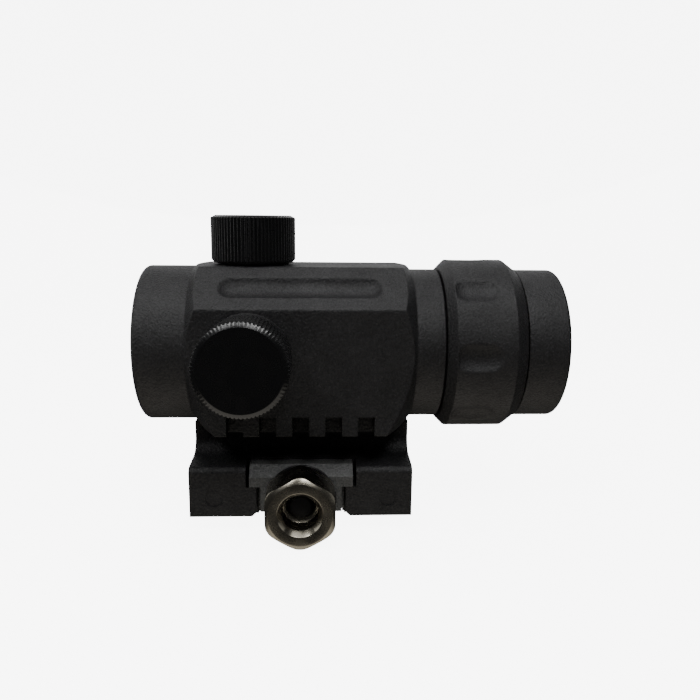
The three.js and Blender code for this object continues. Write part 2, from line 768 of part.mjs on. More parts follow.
for (const { name, base, tilt } of turrets) {
  const turret = new THREE.Group();
  turret.position.x = TURRET_X;
  turret.rotation.x = tilt;
  tube.add(turret);
  place(turret, `${name}_bush`, makeBush(base), 'blackOxide');
  place(turret, `${name}_dial`, makeDial(base), 'brass');
  place(turret, `${name}_plunger`, makePlunger(base), 'springSteel');
  place(turret, `${name}_o_ring`, makeTurretSeal(base), 'rubber');
  place(turret, `${name}_cap`, makeCap(base), 'satinBlack');
}

// ---------------------------------------------------------------- battery compartment

function makeBatteryCap() {
  const shell = revolveZ([
    [BATTERY_BOSS_R + 0.1, BATTERY_CAP_FOOT],
    [BATTERY_CAP_R - 0.3, BATTERY_CAP_FOOT],
    [BATTERY_CAP_R, BATTERY_CAP_FOOT + 0.3],
    [BATTERY_CAP_R, BATTERY_CAP_TOP - 0.8],
    [BATTERY_CAP_R - 0.8, BATTERY_CAP_TOP],
    [0, BATTERY_CAP_TOP],
    [0, BATTERY_BOSS_TOP + 0.15],
    [BATTERY_BOSS_R + 0.1, BATTERY_BOSS_TOP + 0.15],
  ], 36);
  const coinSlot = box(-6.5, 6.5, -0.9, 0.9, BATTERY_CAP_TOP - 1.3, BATTERY_CAP_TOP + 1);
  return cut(shell, coinSlot);
}

function makeCoinCell() {
  const low = BATTERY_BOSS_TOP + 0.08 - CELL_THICKNESS;
  const high = low + CELL_THICKNESS;
  return revolveZ([
    [0, low],
    [8.3, low],
    [8.6, low + 0.35],
    [CELL_R - 0.3, low + 0.35],
    [CELL_R, low + 0.65],
    [CELL_R, high - 0.25],
    [CELL_R - 0.25, high],
    [0, high],
  ], 28);
}

function makeBatteryContact() {
  const floor = BATTERY_POCKET_FLOOR + SEAT_GAP;
  return revolveZ([
    [0, floor + 0.25],
    [1.2, floor + 0.25],
    [5.5, floor],
    [6.5, floor],
    [6.5, floor + 0.2],
    [5.5, floor + 0.2],
    [1.2, floor + 0.5],
    [0, floor + 0.5],
  ]);
}

const battery = new THREE.Group();
battery.position.set(BATTERY_X, 0, BATTERY_Z);
battery.rotation.x = -Math.PI / 2;
tube.add(battery);
place(battery, 'battery_cap', makeBatteryCap(), 'satinBlack');
place(battery, 'battery_o_ring', torusZ(11.85, 0.42, 17.1), 'rubber');
place(battery, 'coin_cell', makeCoinCell(), 'cellSteel');
place(battery, 'battery_contact', makeBatteryContact(), 'springSteel');

// ---------------------------------------------------------------- riser

function riserSection() {
  const neckTop = AXIS_Z + BODY_BOTTOM - SEAT_GAP;
  const outside = [
    [NECK_HALF_WIDTH, neckTop],
    ...arc(NECK_HALF_WIDTH + 3, SHOULDER_HEIGHT + 3.2, 3, 180, 262, 5),
    ...arc(BLOCK_HALF_WIDTH - 1.3, SHOULDER_HEIGHT - 1.5, 1.3, 84, 0, 4),
    [BLOCK_HALF_WIDTH, BLOCK_BOTTOM + 0.3],
    [BLOCK_HALF_WIDTH - 0.3, BLOCK_BOTTOM],
  ];
  const bevelTop = RAIL_WIDEST_Z - 0.2;
  const farClaw = [
    [CHANNEL_HALF_WIDTH - (bevelTop - BLOCK_BOTTOM), BLOCK_BOTTOM],
    [CHANNEL_HALF_WIDTH, bevelTop],
    [CHANNEL_HALF_WIDTH, 0.4],
    [7.6, 0.4],
    [7.6, 0],
  ];
  const nearClaw = [
    [-7.6, 0],
    [-7.6, 0.4],
    [-CHANNEL_HALF_WIDTH, 0.4],
    [-CHANNEL_HALF_WIDTH, BLOCK_BOTTOM],
  ];
  return [...outside, ...farClaw, ...nearClaw, ...mirrorY(outside)];
}

function jawSlotCutters() {
  const mouth = JAW_SLOT_HALF_NARROW + 1;
  const narrow = [
    [-mouth - 1, BLOCK_BOTTOM - 1],
    [mouth + 1, BLOCK_BOTTOM - 1],
    [JAW_SLOT_HALF_NARROW, BLOCK_BOTTOM + 1],
    [JAW_SLOT_HALF_NARROW, JAW_STEP + 0.5],
    [-JAW_SLOT_HALF_NARROW, JAW_STEP + 0.5],
    [-JAW_SLOT_HALF_NARROW, BLOCK_BOTTOM + 1],
  ];
  return [
    prismY(narrow, -16, -9.2),
    box(-JAW_SLOT_HALF_WIDE, JAW_SLOT_HALF_WIDE, -16, -9.4, JAW_STEP - SEAT_GAP, 9),
  ];
}

function makeRiser() {
  const blank = prismX(riserSection(), -RISER_HALF_LENGTH, RISER_HALF_LENGTH);
  const screwHoles = [-SCREW_X, SCREW_X].flatMap((x) => [
    rodZ(SCREW_SHANK_R + 0.15, -1, 14, x, 0, 16),
    rodZ(SCREW_HEAD_R + 0.15, -1, SCREW_HEAD_TOP + 0.1, x, 0, 20),
  ]);
  const markFloor = -BLOCK_HALF_WIDTH + WITNESS_DEPTH;
  const witnessMarks = [-WITNESS_X, WITNESS_X].map((x) => rodY(WITNESS_R, -16, markFloor, x, WITNESS_Z, 16));
  const boltGroove = box(-BOLT_R - 0.3, BOLT_R + 0.3, -CHANNEL_HALF_WIDTH, CHANNEL_HALF_WIDTH, -1, 0.6);
  const bellRelief = rodX(BELL_R + SEAT_GAP, BELL_REAR_X, BODY_REAR_X + 0.5, 0, AXIS_Z, 48);
  return cut(
    blank,
    bellRelief,
    ...jawSlotCutters(),
    rodY(BOLT_R + 0.1, -10, 16, 0, BOLT_Z, 24),
    boltGroove,
    rodY(BOLT_HEAD_R + 0.25, BOLT_HEAD_Y - 0.1, 16, 0, BOLT_Z, 24),
    ...screwHoles,
    ...witnessMarks,
  );
}

function makeRiserScrew(x) {
  const body = revolveZ([
    [0, 0.35],
    [SCREW_HEAD_R - 0.35, 0.35],
    [SCREW_HEAD_R, 0.7],
    [SCREW_HEAD_R, SCREW_HEAD_TOP],
    [SCREW_SHANK_R, SCREW_HEAD_TOP],
    [SCREW_SHANK_R, 14.0],
    [0, 14.0],
  ], 24);
  const socket = rodZ(1.25, 0, 1.6, 0, 0, 6);
  return cut(body, socket).translate([x, 0, 0]);
}

place(sight, 'riser_base', makeRiser(), 'blastedBlack');
place(sight, 'riser_screw_front', makeRiserScrew(SCREW_X), 'blackOxide');
place(sight, 'riser_screw_rear', makeRiserScrew(-SCREW_X), 'blackOxide');

// ---------------------------------------------------------------- rail clamp

function makeJaw() {
  const wide = prismX([
    [JAW_FACE_Y, JAW_STEP],
    [-9.7, JAW_STEP],
    [-9.7, JAW_TOP],
    [-11.6, JAW_TOP],
    [JAW_FACE_Y, JAW_TOP - 2.0],
  ], -JAW_HALF_WIDE, JAW_HALF_WIDE);
  const hookReach = RAIL_HALF_WIDTH + 0.15;
  const hookDrop = RAIL_WIDEST_Z - 0.15 - JAW_BOTTOM;
  const narrow = prismX([
    [JAW_FACE_Y, JAW_BOTTOM],
    [-hookReach + hookDrop, JAW_BOTTOM],
    [-hookReach, JAW_BOTTOM + hookDrop],
    [-hookReach, JAW_STEP + 0.5],
    [JAW_FACE_Y, JAW_STEP + 0.5],
  ], -JAW_HALF_NARROW, JAW_HALF_NARROW);
  return cut(join(wide, narrow), rodY(BOLT_R + 0.15, -16, -8, 0, BOLT_Z, 24));
}

// The shank fills a rail slot, so it is flat underneath between the claws
function makeCrossBolt() {
  const profile = [
    [0, BOLT_END_Y],
    [BOLT_R - 0.3, BOLT_END_Y],
    [BOLT_R, BOLT_END_Y + 0.4],
    [BOLT_R, BOLT_HEAD_Y],
    [BOLT_HEAD_R, BOLT_HEAD_Y],
    [BOLT_HEAD_R, BOLT_HEAD_END_Y - 0.4],
    [BOLT_HEAD_R - 0.4, BOLT_HEAD_END_Y],
    [0, BOLT_HEAD_END_Y],
  ];
  const blank = toSolid(lathe(profile, 24)).translate([0, 0, BOLT_Z]);
  const flat = box(-4, 4, -RAIL_HALF_WIDTH, RAIL_HALF_WIDTH, -6, BOLT_FLAT_Z);
  const driverSlot = box(-4, 4, BOLT_HEAD_END_Y - 0.9, 16, BOLT_Z - 0.5, BOLT_Z + 0.5);
  return cut(blank, flat, driverSlot);
}

function makeNut() {
  const cornerR = NUT_FLATS / 2 / Math.cos(Math.PI / 6);
  const hexagon = arc(0, 0, cornerR, 30, 330, 5);
  const length = NUT_REAR_Y - NUT_FACE_Y;
  const prism = toSolid(extrude(hexagon, length).rotateX(Math.PI / 2).translate(0, NUT_REAR_Y, 0));
  const envelope = toSolid(lathe([
    [BOLT_R + 0.08, NUT_REAR_Y],
    [NUT_FLATS / 2, NUT_REAR_Y],
    [NUT_CORNER_R, NUT_REAR_Y - 0.6],
    [NUT_CORNER_R, NUT_FACE_Y + 0.6],
    [NUT_FLATS / 2 - 0.1, NUT_FACE_Y],
    [NUT_RECESS_R, NUT_FACE_Y],
    [NUT_RECESS_R - 0.9, NUT_FACE_Y + 1.2],
    [NUT_RECESS_R - 0.9, NUT_THREAD_Y - 0.5],
    [BOLT_R + 0.08, NUT_THREAD_Y],
  ], 24));
  return prism.intersect(envelope).translate([0, 0, BOLT_Z]);
}

function makeWasher() {
  const outerFace = NUT_REAR_Y + WASHER_GAP;
  const innerFace = JAW_FACE_Y - WASHER_GAP;
  const bore = BOLT_R + 0.1;
  const section = [[bore, outerFace], [WASHER_R, outerFace], [WASHER_R, innerFace], [bore, innerFace]];
  const ring = lathe(section, 36);
  return toSolid(ring).translate([0, 0, BOLT_Z]);
}

place(sight, 'clamp_jaw', makeJaw(), 'blastedSteel');
place(sight, 'cross_bolt', makeCrossBolt(), 'blackOxide');
place(sight, 'clamp_washer', makeWasher(), 'blastedSteel');
place(sight, 'clamp_nut', makeNut(), 'blackNickel');

export default sight;
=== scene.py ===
# Looks of the compact tube red dot sight: fine meshes, procedural finishes, studio and camera.
#
# Pieces are drawn in millimetres and scaled to metres when they are installed. A turned piece is drawn
# about its own axis: height along local Z, and angle from local X towards local Y.

import itertools
import json
import math

import bmesh
import bpy
import numpy as np
from mathutils import Matrix, Vector


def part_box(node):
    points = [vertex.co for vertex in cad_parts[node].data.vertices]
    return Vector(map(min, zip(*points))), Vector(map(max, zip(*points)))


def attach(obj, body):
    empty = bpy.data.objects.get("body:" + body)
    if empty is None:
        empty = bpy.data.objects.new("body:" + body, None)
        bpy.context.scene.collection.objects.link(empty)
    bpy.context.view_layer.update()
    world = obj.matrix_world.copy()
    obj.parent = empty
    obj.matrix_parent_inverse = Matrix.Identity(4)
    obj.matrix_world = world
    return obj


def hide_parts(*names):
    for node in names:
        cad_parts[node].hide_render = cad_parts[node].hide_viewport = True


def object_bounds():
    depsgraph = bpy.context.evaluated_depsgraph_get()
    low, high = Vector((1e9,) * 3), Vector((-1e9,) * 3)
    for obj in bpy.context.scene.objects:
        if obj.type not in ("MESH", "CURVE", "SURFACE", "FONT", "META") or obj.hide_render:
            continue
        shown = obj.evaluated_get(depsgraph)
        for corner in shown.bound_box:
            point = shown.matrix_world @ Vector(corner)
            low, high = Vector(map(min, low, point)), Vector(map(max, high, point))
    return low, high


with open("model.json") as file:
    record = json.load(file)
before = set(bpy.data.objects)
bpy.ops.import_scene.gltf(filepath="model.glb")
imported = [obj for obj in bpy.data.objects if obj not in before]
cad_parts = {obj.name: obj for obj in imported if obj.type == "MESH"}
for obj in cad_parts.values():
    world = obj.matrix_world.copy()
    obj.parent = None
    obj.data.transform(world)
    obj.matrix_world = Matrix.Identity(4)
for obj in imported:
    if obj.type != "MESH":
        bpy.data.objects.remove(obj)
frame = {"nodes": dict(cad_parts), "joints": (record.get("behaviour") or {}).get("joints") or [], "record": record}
cad_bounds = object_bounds()

MM = 0.001
JOINTS = {joint["name"]: joint for joint in frame["joints"]}
SLOT_OF = {part["node"]: part["material_slot"] for part in frame["record"]["subparts"]}
BODY_OF = {
    node: body
    for body, nodes in frame["record"]["behaviour"]["bodies"].items()
    for node in nodes
}


# ---------------- axes of the object


def joint_point(name):
    return Vector(JOINTS[name]["pos_m"]) / MM


def box_mm(node):
    low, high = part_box(node)
    return low / MM, high / MM


def placed(local_x, local_y, origin):
    """A frame from the directions of its first two axes and its origin."""
    local_z = Vector(local_x).cross(Vector(local_y))
    turn = Matrix([local_x, local_y, local_z]).transposed().to_4x4()
    return Matrix.Translation(origin) @ turn


AXIS_Z = joint_point("brightness_turn").z
TURRET_X = joint_point("elevation_dial_turn").x
BOLT_Z = joint_point("nut_turn").z
BATTERY_CENTRE = sum(box_mm("battery_cap"), Vector()) / 2

PART = Matrix.Identity(4)
TUBE = placed((0, 1, 0), (0, 0, 1), (0, 0, AXIS_Z))
ELEVATION = placed((1, 0, 0), (0, 1, 0), (TURRET_X, 0, AXIS_Z))
WINDAGE = placed((1, 0, 0), (0, 0, 1), (TURRET_X, 0, AXIS_Z))
BATTERY = placed((1, 0, 0), (0, 0, -1), (BATTERY_CENTRE.x, 0, BATTERY_CENTRE.z))
BOLT = placed((1, 0, 0), (0, 0, 1), (0, 0, BOLT_Z))
GIMBAL_X = joint_point("gimbal_tilt").x
PIVOT_ACROSS = placed((1, 0, 0), (0, 0, 1), (GIMBAL_X, 0, AXIS_Z))
PIVOT_UPRIGHT = placed((1, 0, 0), (0, 1, 0), (GIMBAL_X, 0, AXIS_Z))


def reach(node, place):
    """Lowest and highest point of a CAD node along a piece's own axis, and its outer radius."""
    inverse = place.inverted()
    corners = [inverse @ Vector(corner) for corner in itertools.product(*zip(*box_mm(node)))]
    heights = [corner.z for corner in corners]
    return min(heights), max(heights), max(abs(corner.x) for corner in corners)


# ---------------- outlines

FILLET_STEPS_PER_MM = 5


def rounded(outline):
    """Points of an outline whose corners are (u, v) or (u, v, radius)."""
    points = []
    count = len(outline)
    for index, corner in enumerate(outline):
        here = np.array(corner[:2], float)
        radius = corner[2] if len(corner) > 2 else 0
        if radius == 0:
            points.append(tuple(here))
            continue
        back = np.array(outline[index - 1][:2], float) - here
        ahead = np.array(outline[(index + 1) % count][:2], float) - here
        back_length, ahead_length = np.linalg.norm(back), np.linalg.norm(ahead)
        back, ahead = back / back_length, ahead / ahead_length
        half_angle = math.acos(np.clip(back @ ahead, -1, 1)) / 2
        trim = min(radius / math.tan(half_angle), 0.48 * back_length, 0.48 * ahead_length)
        steps = max(3, math.ceil(radius * FILLET_STEPS_PER_MM))
        for step in range(steps + 1):
            # a blend of the two tangents, as a rational curve that is a true arc
            t = step / steps
            weights = ((1 - t) ** 2, 2 * t * (1 - t) * math.sin(half_angle), t ** 2)
            ends = (here + back * trim, here, here + ahead * trim)
            points.append(tuple(sum(w * e for w, e in zip(weights, ends)) / sum(weights)))
    return points


def softest(first, second, blend):
    """The smaller of two lengths, with the crease between them rounded over the blend length."""
    share = np.clip(0.5 + 0.5 * (second - first) / blend, 0, 1)
    return second + (first - second) * share - blend * share * (1 - share)


def thread(radius, depth, start, end, pitch=0.5):
    """Corners of a threaded stretch, from one height to another."""
    turns = max(1, round(abs(end - start) / pitch))
    step = (end - start) / turns
    corners = []
    for turn in range(turns):
        low = start + turn * step
        corners += [
            (radius - depth, low),
            (radius - 0.1 * depth, low + 0.42 * step),
            (radius - 0.1 * depth, low + 0.58 * step),
        ]
    return corners + [(radius - depth, end)]


# ---------------- meshes

SHARP_ANGLE = math.radians(32)
MERGE_DISTANCE = 1e-4


def add_object(name, mesh):
    piece = bpy.data.objects.new(name, mesh)
    bpy.context.scene.collection.objects.link(piece)
    return piece


def clean(build, dissolve=False):
    bmesh.ops.remove_doubles(build, verts=build.verts, dist=MERGE_DISTANCE)
    bmesh.ops.dissolve_degenerate(build, dist=MERGE_DISTANCE, edges=build.edges)
    if dissolve:
        bmesh.ops.dissolve_limit(
            build, angle_limit=math.radians(0.15), verts=build.verts, edges=build.edges
        )
    bmesh.ops.recalc_face_normals(build, faces=build.faces)


def mesh_from(build, name, place):
    """Ends a bmesh and gives its mesh in its place."""
    mesh = bpy.data.meshes.new(name)
    build.to_mesh(mesh)
    build.free()
    mesh.transform(place)
    return mesh


def evenly(segments):
    return [2 * math.pi * step / segments for step in range(segments)]


def turned(name, place, outline, angles=96, dissolve=False):
    """A solid of revolution. The outline may be a function of the angle, to give ribs, flats and dimples."""
    if isinstance(angles, int):
        angles = evenly(angles)
    shape = outline if callable(outline) else lambda angle: outline
    build = bmesh.new()
    rings = []
    for angle in angles:
        cosine, sine = math.cos(angle), math.sin(angle)
        ring = [build.verts.new((r * cosine, r * sine, h)) for r, h in rounded(shape(angle))]
        rings.append(ring)
    for ring, following in zip(rings, rings[1:] + rings[:1]):
        for k, vertex in enumerate(ring):
            build.faces.new((ring[k - 1], vertex, following[k], following[k - 1]))
    clean(build, dissolve)
    return add_object(name, mesh_from(build, name, place))


def extruded(name, outline, start, end, place=PART):
    """A prism whose outline lies in local X and Y, between two heights."""
    build = bmesh.new()
    points = rounded(outline)
    low = [build.verts.new((u, v, start)) for u, v in points]
    high = [build.verts.new((u, v, end)) for u, v in points]
    build.faces.new(low)
    build.faces.new(high)
    for k in range(len(points)):
        build.faces.new((low[k - 1], low[k], high[k], high[k - 1]))
    clean(build)
    return add_object(name, mesh_from(build, name, place))


def collar(bore, radius, low, high, inner=0, outer=0.1):
    """The outline of a plain ring, with the radii of its inner and outer edges."""
    return [(bore, low, inner), (radius, low, outer), (radius, high, outer), (bore, high, inner)]


def bar(start, end, half, radius=0):
    """The outline of a straight slot or mark."""
    return [(start, -half, radius), (end, -half, radius), (end, half, radius), (start, half, radius)]


def block(x0, x1, y0, y1, z0, z1):
    """A rectangular cutter."""
    return extruded("cutter", [(x0, y0), (x1, y0), (x1, y1), (x0, y1)], z0, z1)


def rod(place, radius, start, end, x=0, y=0, segments=48):
    """A round cutter along an axis."""
    shift = Matrix.Translation((x, y, 0))
    return turned("cutter", place @ shift, [(0, start), (radius, start), (radius, end), (0, end)], segments)


def apply_modifiers(piece):
    depsgraph = bpy.context.evaluated_depsgraph_get()
    mesh = bpy.data.meshes.new_from_object(piece.evaluated_get(depsgraph))
    piece.modifiers.clear()
    piece.data = mesh


def combine(piece, tools, operation):
    for tool in tools:
        modifier = piece.modifiers.new(operation, "BOOLEAN")
        modifier.operation = operation
        modifier.solver = "MANIFOLD"
        modifier.object = tool
    apply_modifiers(piece)
    for tool in tools:
        bpy.data.objects.remove(tool)
    return piece


def cut(piece, *tools):
    return combine(piece, tools, "DIFFERENCE")


def join(piece, *tools):
    return combine(piece, tools, "UNION")


def soften(piece, width, segments=2, angle=40):
    """Rounds every edge that is sharper than an angle."""
    bevel = piece.modifiers.new("edges", "BEVEL")
    bevel.width = width
    bevel.segments = segments
    bevel.limit_method = "ANGLE"
    bevel.angle_limit = math.radians(angle)
    bevel.use_clamp_overlap = True
    bevel.miter_outer = "MITER_ARC"
    apply_modifiers(piece)
    return piece


# ---------------- procedural finishes

GRAIN = 0.00038  # size of a blasted pit, in metres
TRACK_PITCH = 0.00042  # from one copper track to the next, in metres


class Nodes:
    """A short way to write a node tree."""

    def __init__(self, name):
        self.material = bpy.data.materials.new(name)
        self.material.use_nodes = True
        self.tree = self.material.node_tree
        self.shader = self.tree.nodes["Principled BSDF"]
        self.output = self.tree.nodes["Material Output"]
        self.place = self.add("ShaderNodeTexCoord").outputs["Object"]

    def add(self, kind, **settings):
        node = self.tree.nodes.new(kind)
        for key, value in settings.items():
            setattr(node, key, value)
        return node

    def link(self, source, target):
        self.tree.links.new(source, target)

    def put(self, value, socket):
        """Gives a socket a constant or another node's output."""
        if isinstance(value, bpy.types.NodeSocket):
            self.link(value, socket)
        else:
            socket.default_value = value

    def feed(self, node, **values):
        for key, value in values.items():
            self.put(value, node.inputs[key.replace("_", " ")])

    def noise(self, size, detail=3.0, roughness=0.55, stretch=(1, 1, 1), source=None):
        """Noise with features of a given size in metres."""
        mapping = self.add("ShaderNodeMapping")
        self.feed(mapping, Vector=source or self.place, Scale=stretch)
        node = self.add("ShaderNodeTexNoise")
        self.feed(node, Vector=mapping.outputs[0], Scale=1 / size, Detail=detail, Roughness=roughness)
        return node.outputs["Fac"]

    def ramp(self, value, low, high, start=0.3, end=0.7):
        """Maps a value between two numbers, from start to end."""
        node = self.add("ShaderNodeMapRange")
        node.inputs["From Min"].default_value = start
        node.inputs["From Max"].default_value = end
        node.inputs["To Min"].default_value = low
        node.inputs["To Max"].default_value = high
        self.link(value, node.inputs["Value"])
        return node.outputs[0]

    def colours(self, value, first, second):
        """Mixes two colours by a value. Each is red, green and blue, or a node's output."""
        node = self.add("ShaderNodeMix", data_type="RGBA")
        colour_inputs = [socket for socket in node.inputs if socket.type == "RGBA"]
        for socket, colour in zip(colour_inputs, (first, second)):
            self.put((*colour, 1) if isinstance(colour, tuple) else colour, socket)
        self.link(value, node.inputs["Factor"])
        return next(socket for socket in node.outputs if socket.type == "RGBA")

    def maths(self, operation, first, second=0.0):
        node = self.add("ShaderNodeMath", operation=operation)
        for socket, value in zip(node.inputs, (first, second)):
            self.put(value, socket)
        return node.outputs[0]

    def radius(self, axis):
        """Distance from a piece's own axis, in metres."""
        inverse = (Matrix.Scale(MM, 4) @ axis @ Matrix.Scale(1 / MM, 4)).inverted()
        mapping = self.add("ShaderNodeMapping")
        self.feed(mapping, Vector=self.place)
        mapping.inputs["Location"].default_value = inverse.translation
        mapping.inputs["Rotation"].default_value = inverse.to_euler()
        flatten = self.add("ShaderNodeVectorMath", operation="MULTIPLY")
        self.link(mapping.outputs[0], flatten.inputs[0])
        flatten.inputs[1].default_value = (1, 1, 0)
        length = self.add("ShaderNodeVectorMath", operation="LENGTH")
        self.link(flatten.outputs[0], length.inputs[0])
        return length.outputs["Value"]

    def rings(self, axis, size):
        """Fine turning marks around an axis, between 0 and 1."""
        node = self.add("ShaderNodeTexNoise", noise_dimensions="1D")
        self.link(self.radius(axis), node.inputs["W"])
        self.feed(node, Scale=1 / size, Detail=2.0)
        return node.outputs["Fac"]

    def finish(self, colour, roughness, **values):
        """Feeds the shader and gives the finished material."""
        self.feed(self.shader, Base_Color=colour, Roughness=roughness, **values)
        return self.material

    def bump(self, height, strength, distance):
        node = self.add("ShaderNodeBump")
        self.feed(node, Height=height, Strength=strength, Distance=distance)
        self.link(node.outputs[0], self.shader.inputs["Normal"])


def blasted(name, dark, light, rough, metallic, specular):
    """Bead-blasted and anodised metal: a fine grain with slow patches in colour and gloss."""
    nodes = Nodes(name)
    grain = nodes.noise(GRAIN, detail=3.0, roughness=0.6)
    patches = nodes.noise(0.006, detail=2.0)
    mixed = nodes.maths("ADD", nodes.maths("MULTIPLY", grain, 0.7), nodes.maths("MULTIPLY", patches, 0.3))
    colour = nodes.colours(nodes.ramp(mixed, 0, 1, 0.38, 0.62), dark, light)
    gloss = nodes.ramp(mixed, rough + 0.12, rough - 0.12)
    nodes.bump(grain, 1.0, 0.00022)
    return nodes.finish(colour, gloss, Metallic=metallic, Specular_IOR_Level=specular)


def machined(name, axis, dark, light, rough, metallic, specular, mark=0.00012, strength=0.16):
    """Turned metal with fine rings about its own axis, and faint handling marks."""
    nodes = Nodes(name)
    marks = nodes.rings(axis, mark)
    smudges = nodes.noise(0.0035, detail=4.0)
    fine = nodes.noise(0.00022, detail=2.0)
    tone = nodes.maths("ADD", nodes.maths("MULTIPLY", marks, 0.45), nodes.maths("MULTIPLY", smudges, 0.55))
    colour = nodes.colours(nodes.ramp(tone, 0, 1), dark, light)
    gloss = nodes.ramp(smudges, rough + 0.07, rough - 0.05)
    height = nodes.maths("ADD", nodes.maths("MULTIPLY", marks, 0.6), nodes.maths("MULTIPLY", fine, 0.4))
    nodes.bump(height, strength, 0.00004)
    return nodes.finish(colour, gloss, Metallic=metallic, Specular_IOR_Level=specular)


def rubber(name):
    nodes = Nodes(name)
    grain = nodes.noise(0.00035, detail=3.0)
    colour = nodes.colours(grain, (0.010, 0.010, 0.010), (0.026, 0.026, 0.027))
    nodes.bump(grain, 0.2, 0.00004)
    return nodes.finish(colour, nodes.ramp(grain, 0.72, 0.56), Specular_IOR_Level=0.4)


def glass(name, tint, index, film, film_index):
    """Optical glass under a coating, with its thickness in nanometres, and a trace of dust."""
    nodes = Nodes(name)
    dust = nodes.noise(0.0012, detail=6.0, roughness=0.7)
    dusty = tuple(0.9 * channel for channel in tint)
    colour = nodes.colours(nodes.ramp(dust, 0, 1, 0.5, 0.8), tint, dusty)
    nodes.feed(nodes.shader, Transmission_Weight=1.0, IOR=index)
    nodes.feed(nodes.shader, Thin_Film_Thickness=film, Thin_Film_IOR=film_index)
    return nodes.finish(colour, nodes.ramp(dust, 0.01, 0.05, 0.5, 0.85))


def circuit(name, axis):
    """Green solder mask with round copper tracks about the optical axis."""
    nodes = Nodes(name)
    radius = nodes.radius(axis)
    weave = nodes.noise(0.0004, detail=2.0, stretch=(1, 1, 4))
    wave = nodes.maths("SINE", nodes.maths("MULTIPLY", radius, 2 * math.pi / TRACK_PITCH))
    track = nodes.ramp(wave, 0, 1, 0.2, 0.3)
    mask = nodes.colours(weave, (0.008, 0.045, 0.018), (0.014, 0.075, 0.030))
    colour = nodes.colours(track, mask, (0.55, 0.36, 0.14))
    nodes.bump(track, 0.2, 0.00004)
    return nodes.finish(colour, nodes.ramp(weave, 0.5, 0.35))


def emitter(name):
    nodes = Nodes(name)
    cloud = nodes.noise(0.0006, detail=2.0)
    colour = nodes.colours(cloud, (0.45, 0.015, 0.01), (0.70, 0.04, 0.025))
    return nodes.finish(colour, nodes.ramp(cloud, 0.25, 0.15))


# dark and light colour, roughness, metallic, specular, then any size and strength of the marks
BLASTED = {
    "blasted_black": ((0.005, 0.005, 0.0055), (0.018, 0.018, 0.019), 0.45, 0.0, 0.42),
    "blasted_grey": ((0.075, 0.077, 0.076), (0.125, 0.127, 0.125), 0.46, 0.35, 0.5),
}
MACHINED = {
    "satin_black": ((0.002, 0.002, 0.0023), (0.005, 0.005, 0.0056), 0.25, 0.0, 0.65),
    "black_nickel": ((0.25, 0.235, 0.193), (0.39, 0.360, 0.295), 0.25, 1.0, 0.5, 0.0002, 0.10),
    "black_oxide": ((0.018, 0.018, 0.019), (0.040, 0.040, 0.041), 0.36, 0.6, 0.5),
    "spring_steel": ((0.38, 0.38, 0.39), (0.56, 0.56, 0.57), 0.26, 1.0, 0.5),
    "cell_steel": ((0.52, 0.52, 0.52), (0.66, 0.66, 0.66), 0.24, 1.0, 0.5),
    "brass": ((0.42, 0.28, 0.10), (0.62, 0.44, 0.18), 0.30, 1.0, 0.5),
}
# tint, index, and the coating's thickness and index
GLASS = {
    "clear_glass": ((0.97, 0.99, 0.98), 1.20, 90, 1.10),
    "coated_glass": ((0.84, 0.93, 0.95), 1.18, 330, 1.24),
}


def finish_of(slot, axis_name, axis):
    """The finish of a material slot, with its turning marks about the piece's own axis."""
    name = f"{slot}_{axis_name}"
    if name in bpy.data.materials:
        return bpy.data.materials[name]
    if slot in BLASTED:
        return blasted(name, *BLASTED[slot])
    if slot in MACHINED:
        return machined(name, axis, *MACHINED[slot])
    if slot in GLASS:
        return glass(name, *GLASS[slot])
    if slot == "rubber":
        return rubber(name)
    if slot == "circuit_green":
        return circuit(name, TUBE)
    return emitter(name)


AXES = {
    "tube": TUBE,
    "elevation": ELEVATION,
    "windage": WINDAGE,
    "battery": BATTERY,
    "bolt": BOLT,
}


def install(piece, node, axis_name="tube"):
    """Scales a finished piece to metres and lets it stand for a CAD node."""
    mesh = piece.data
    mesh.transform(Matrix.Scale(MM, 4))
    mesh.polygons.foreach_set("use_smooth", [True] * len(mesh.polygons))
    mesh.set_sharp_from_angle(angle=SHARP_ANGLE)
    weighted = piece.modifiers.new("normals", "WEIGHTED_NORMAL")
    weighted.keep_sharp = True
    mesh.materials.clear()
    mesh.materials.append(finish_of(SLOT_OF[node], axis_name, AXES[axis_name]))
    piece.name = f"{node}_fine"
    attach(piece, BODY_OF[node])
    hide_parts(node)


# ---------------- housing

BELL_REAR, NOSE_END, _ = reach("main_housing", TUBE)
BODY_TOP = box_mm("main_housing")[1].z - AXIS_Z
BODY_BOTTOM = box_mm("main_housing")[0].z - AXIS_Z + 0.2  # the bell hangs 0.2 mm lower than the body
BODY_SIDE = 16.2
TOP_HALF_WIDTH = 8.2
SHOULDER = 9.0
BELL_R = 16.0
NECK_R = 15.5
BODY_REAR = -21.8
BODY_FRONT = 22.4
CONE_RUN = 0.8
NOSE_X = 28.0
NOSE_R = 14.3
BORE_R = 12.9
SEAT_R = 13.45
REAR_SEAT = -24.2
FLUTE_LENGTH, FLUTE_WIDTH, FLUTE_DEPTH = 31.6, 5.0, 1.1
SLOT_PITCH, SLOT_WIDTH, SLOT_HEIGHT, SLOT_DEPTH = 6.35, 3.2, 3.9, 3.0
SLOT_CENTRES = [SLOT_PITCH * step for step in (-2, -1, 0, 1, 2)]
BOSS_ROOT = 14.0  # both bosses start inside the housing's wall
WINDAGE_BOSS_R, WINDAGE_ROOT_R = 8.2, 8.8
BATTERY_BOSS_R, CELL_POCKET_R, CELL_FLOOR = 11.3, 10.3, 16.3
BUSH_FLANGE = 5.0  # from a bush's rim down to its flange
BUSH_HOLE_R = 3.56
PIN_R, PIN_HOLE_R = 0.6, 0.66
SCREW_X = 15.0
TAPPED_R = 1.6

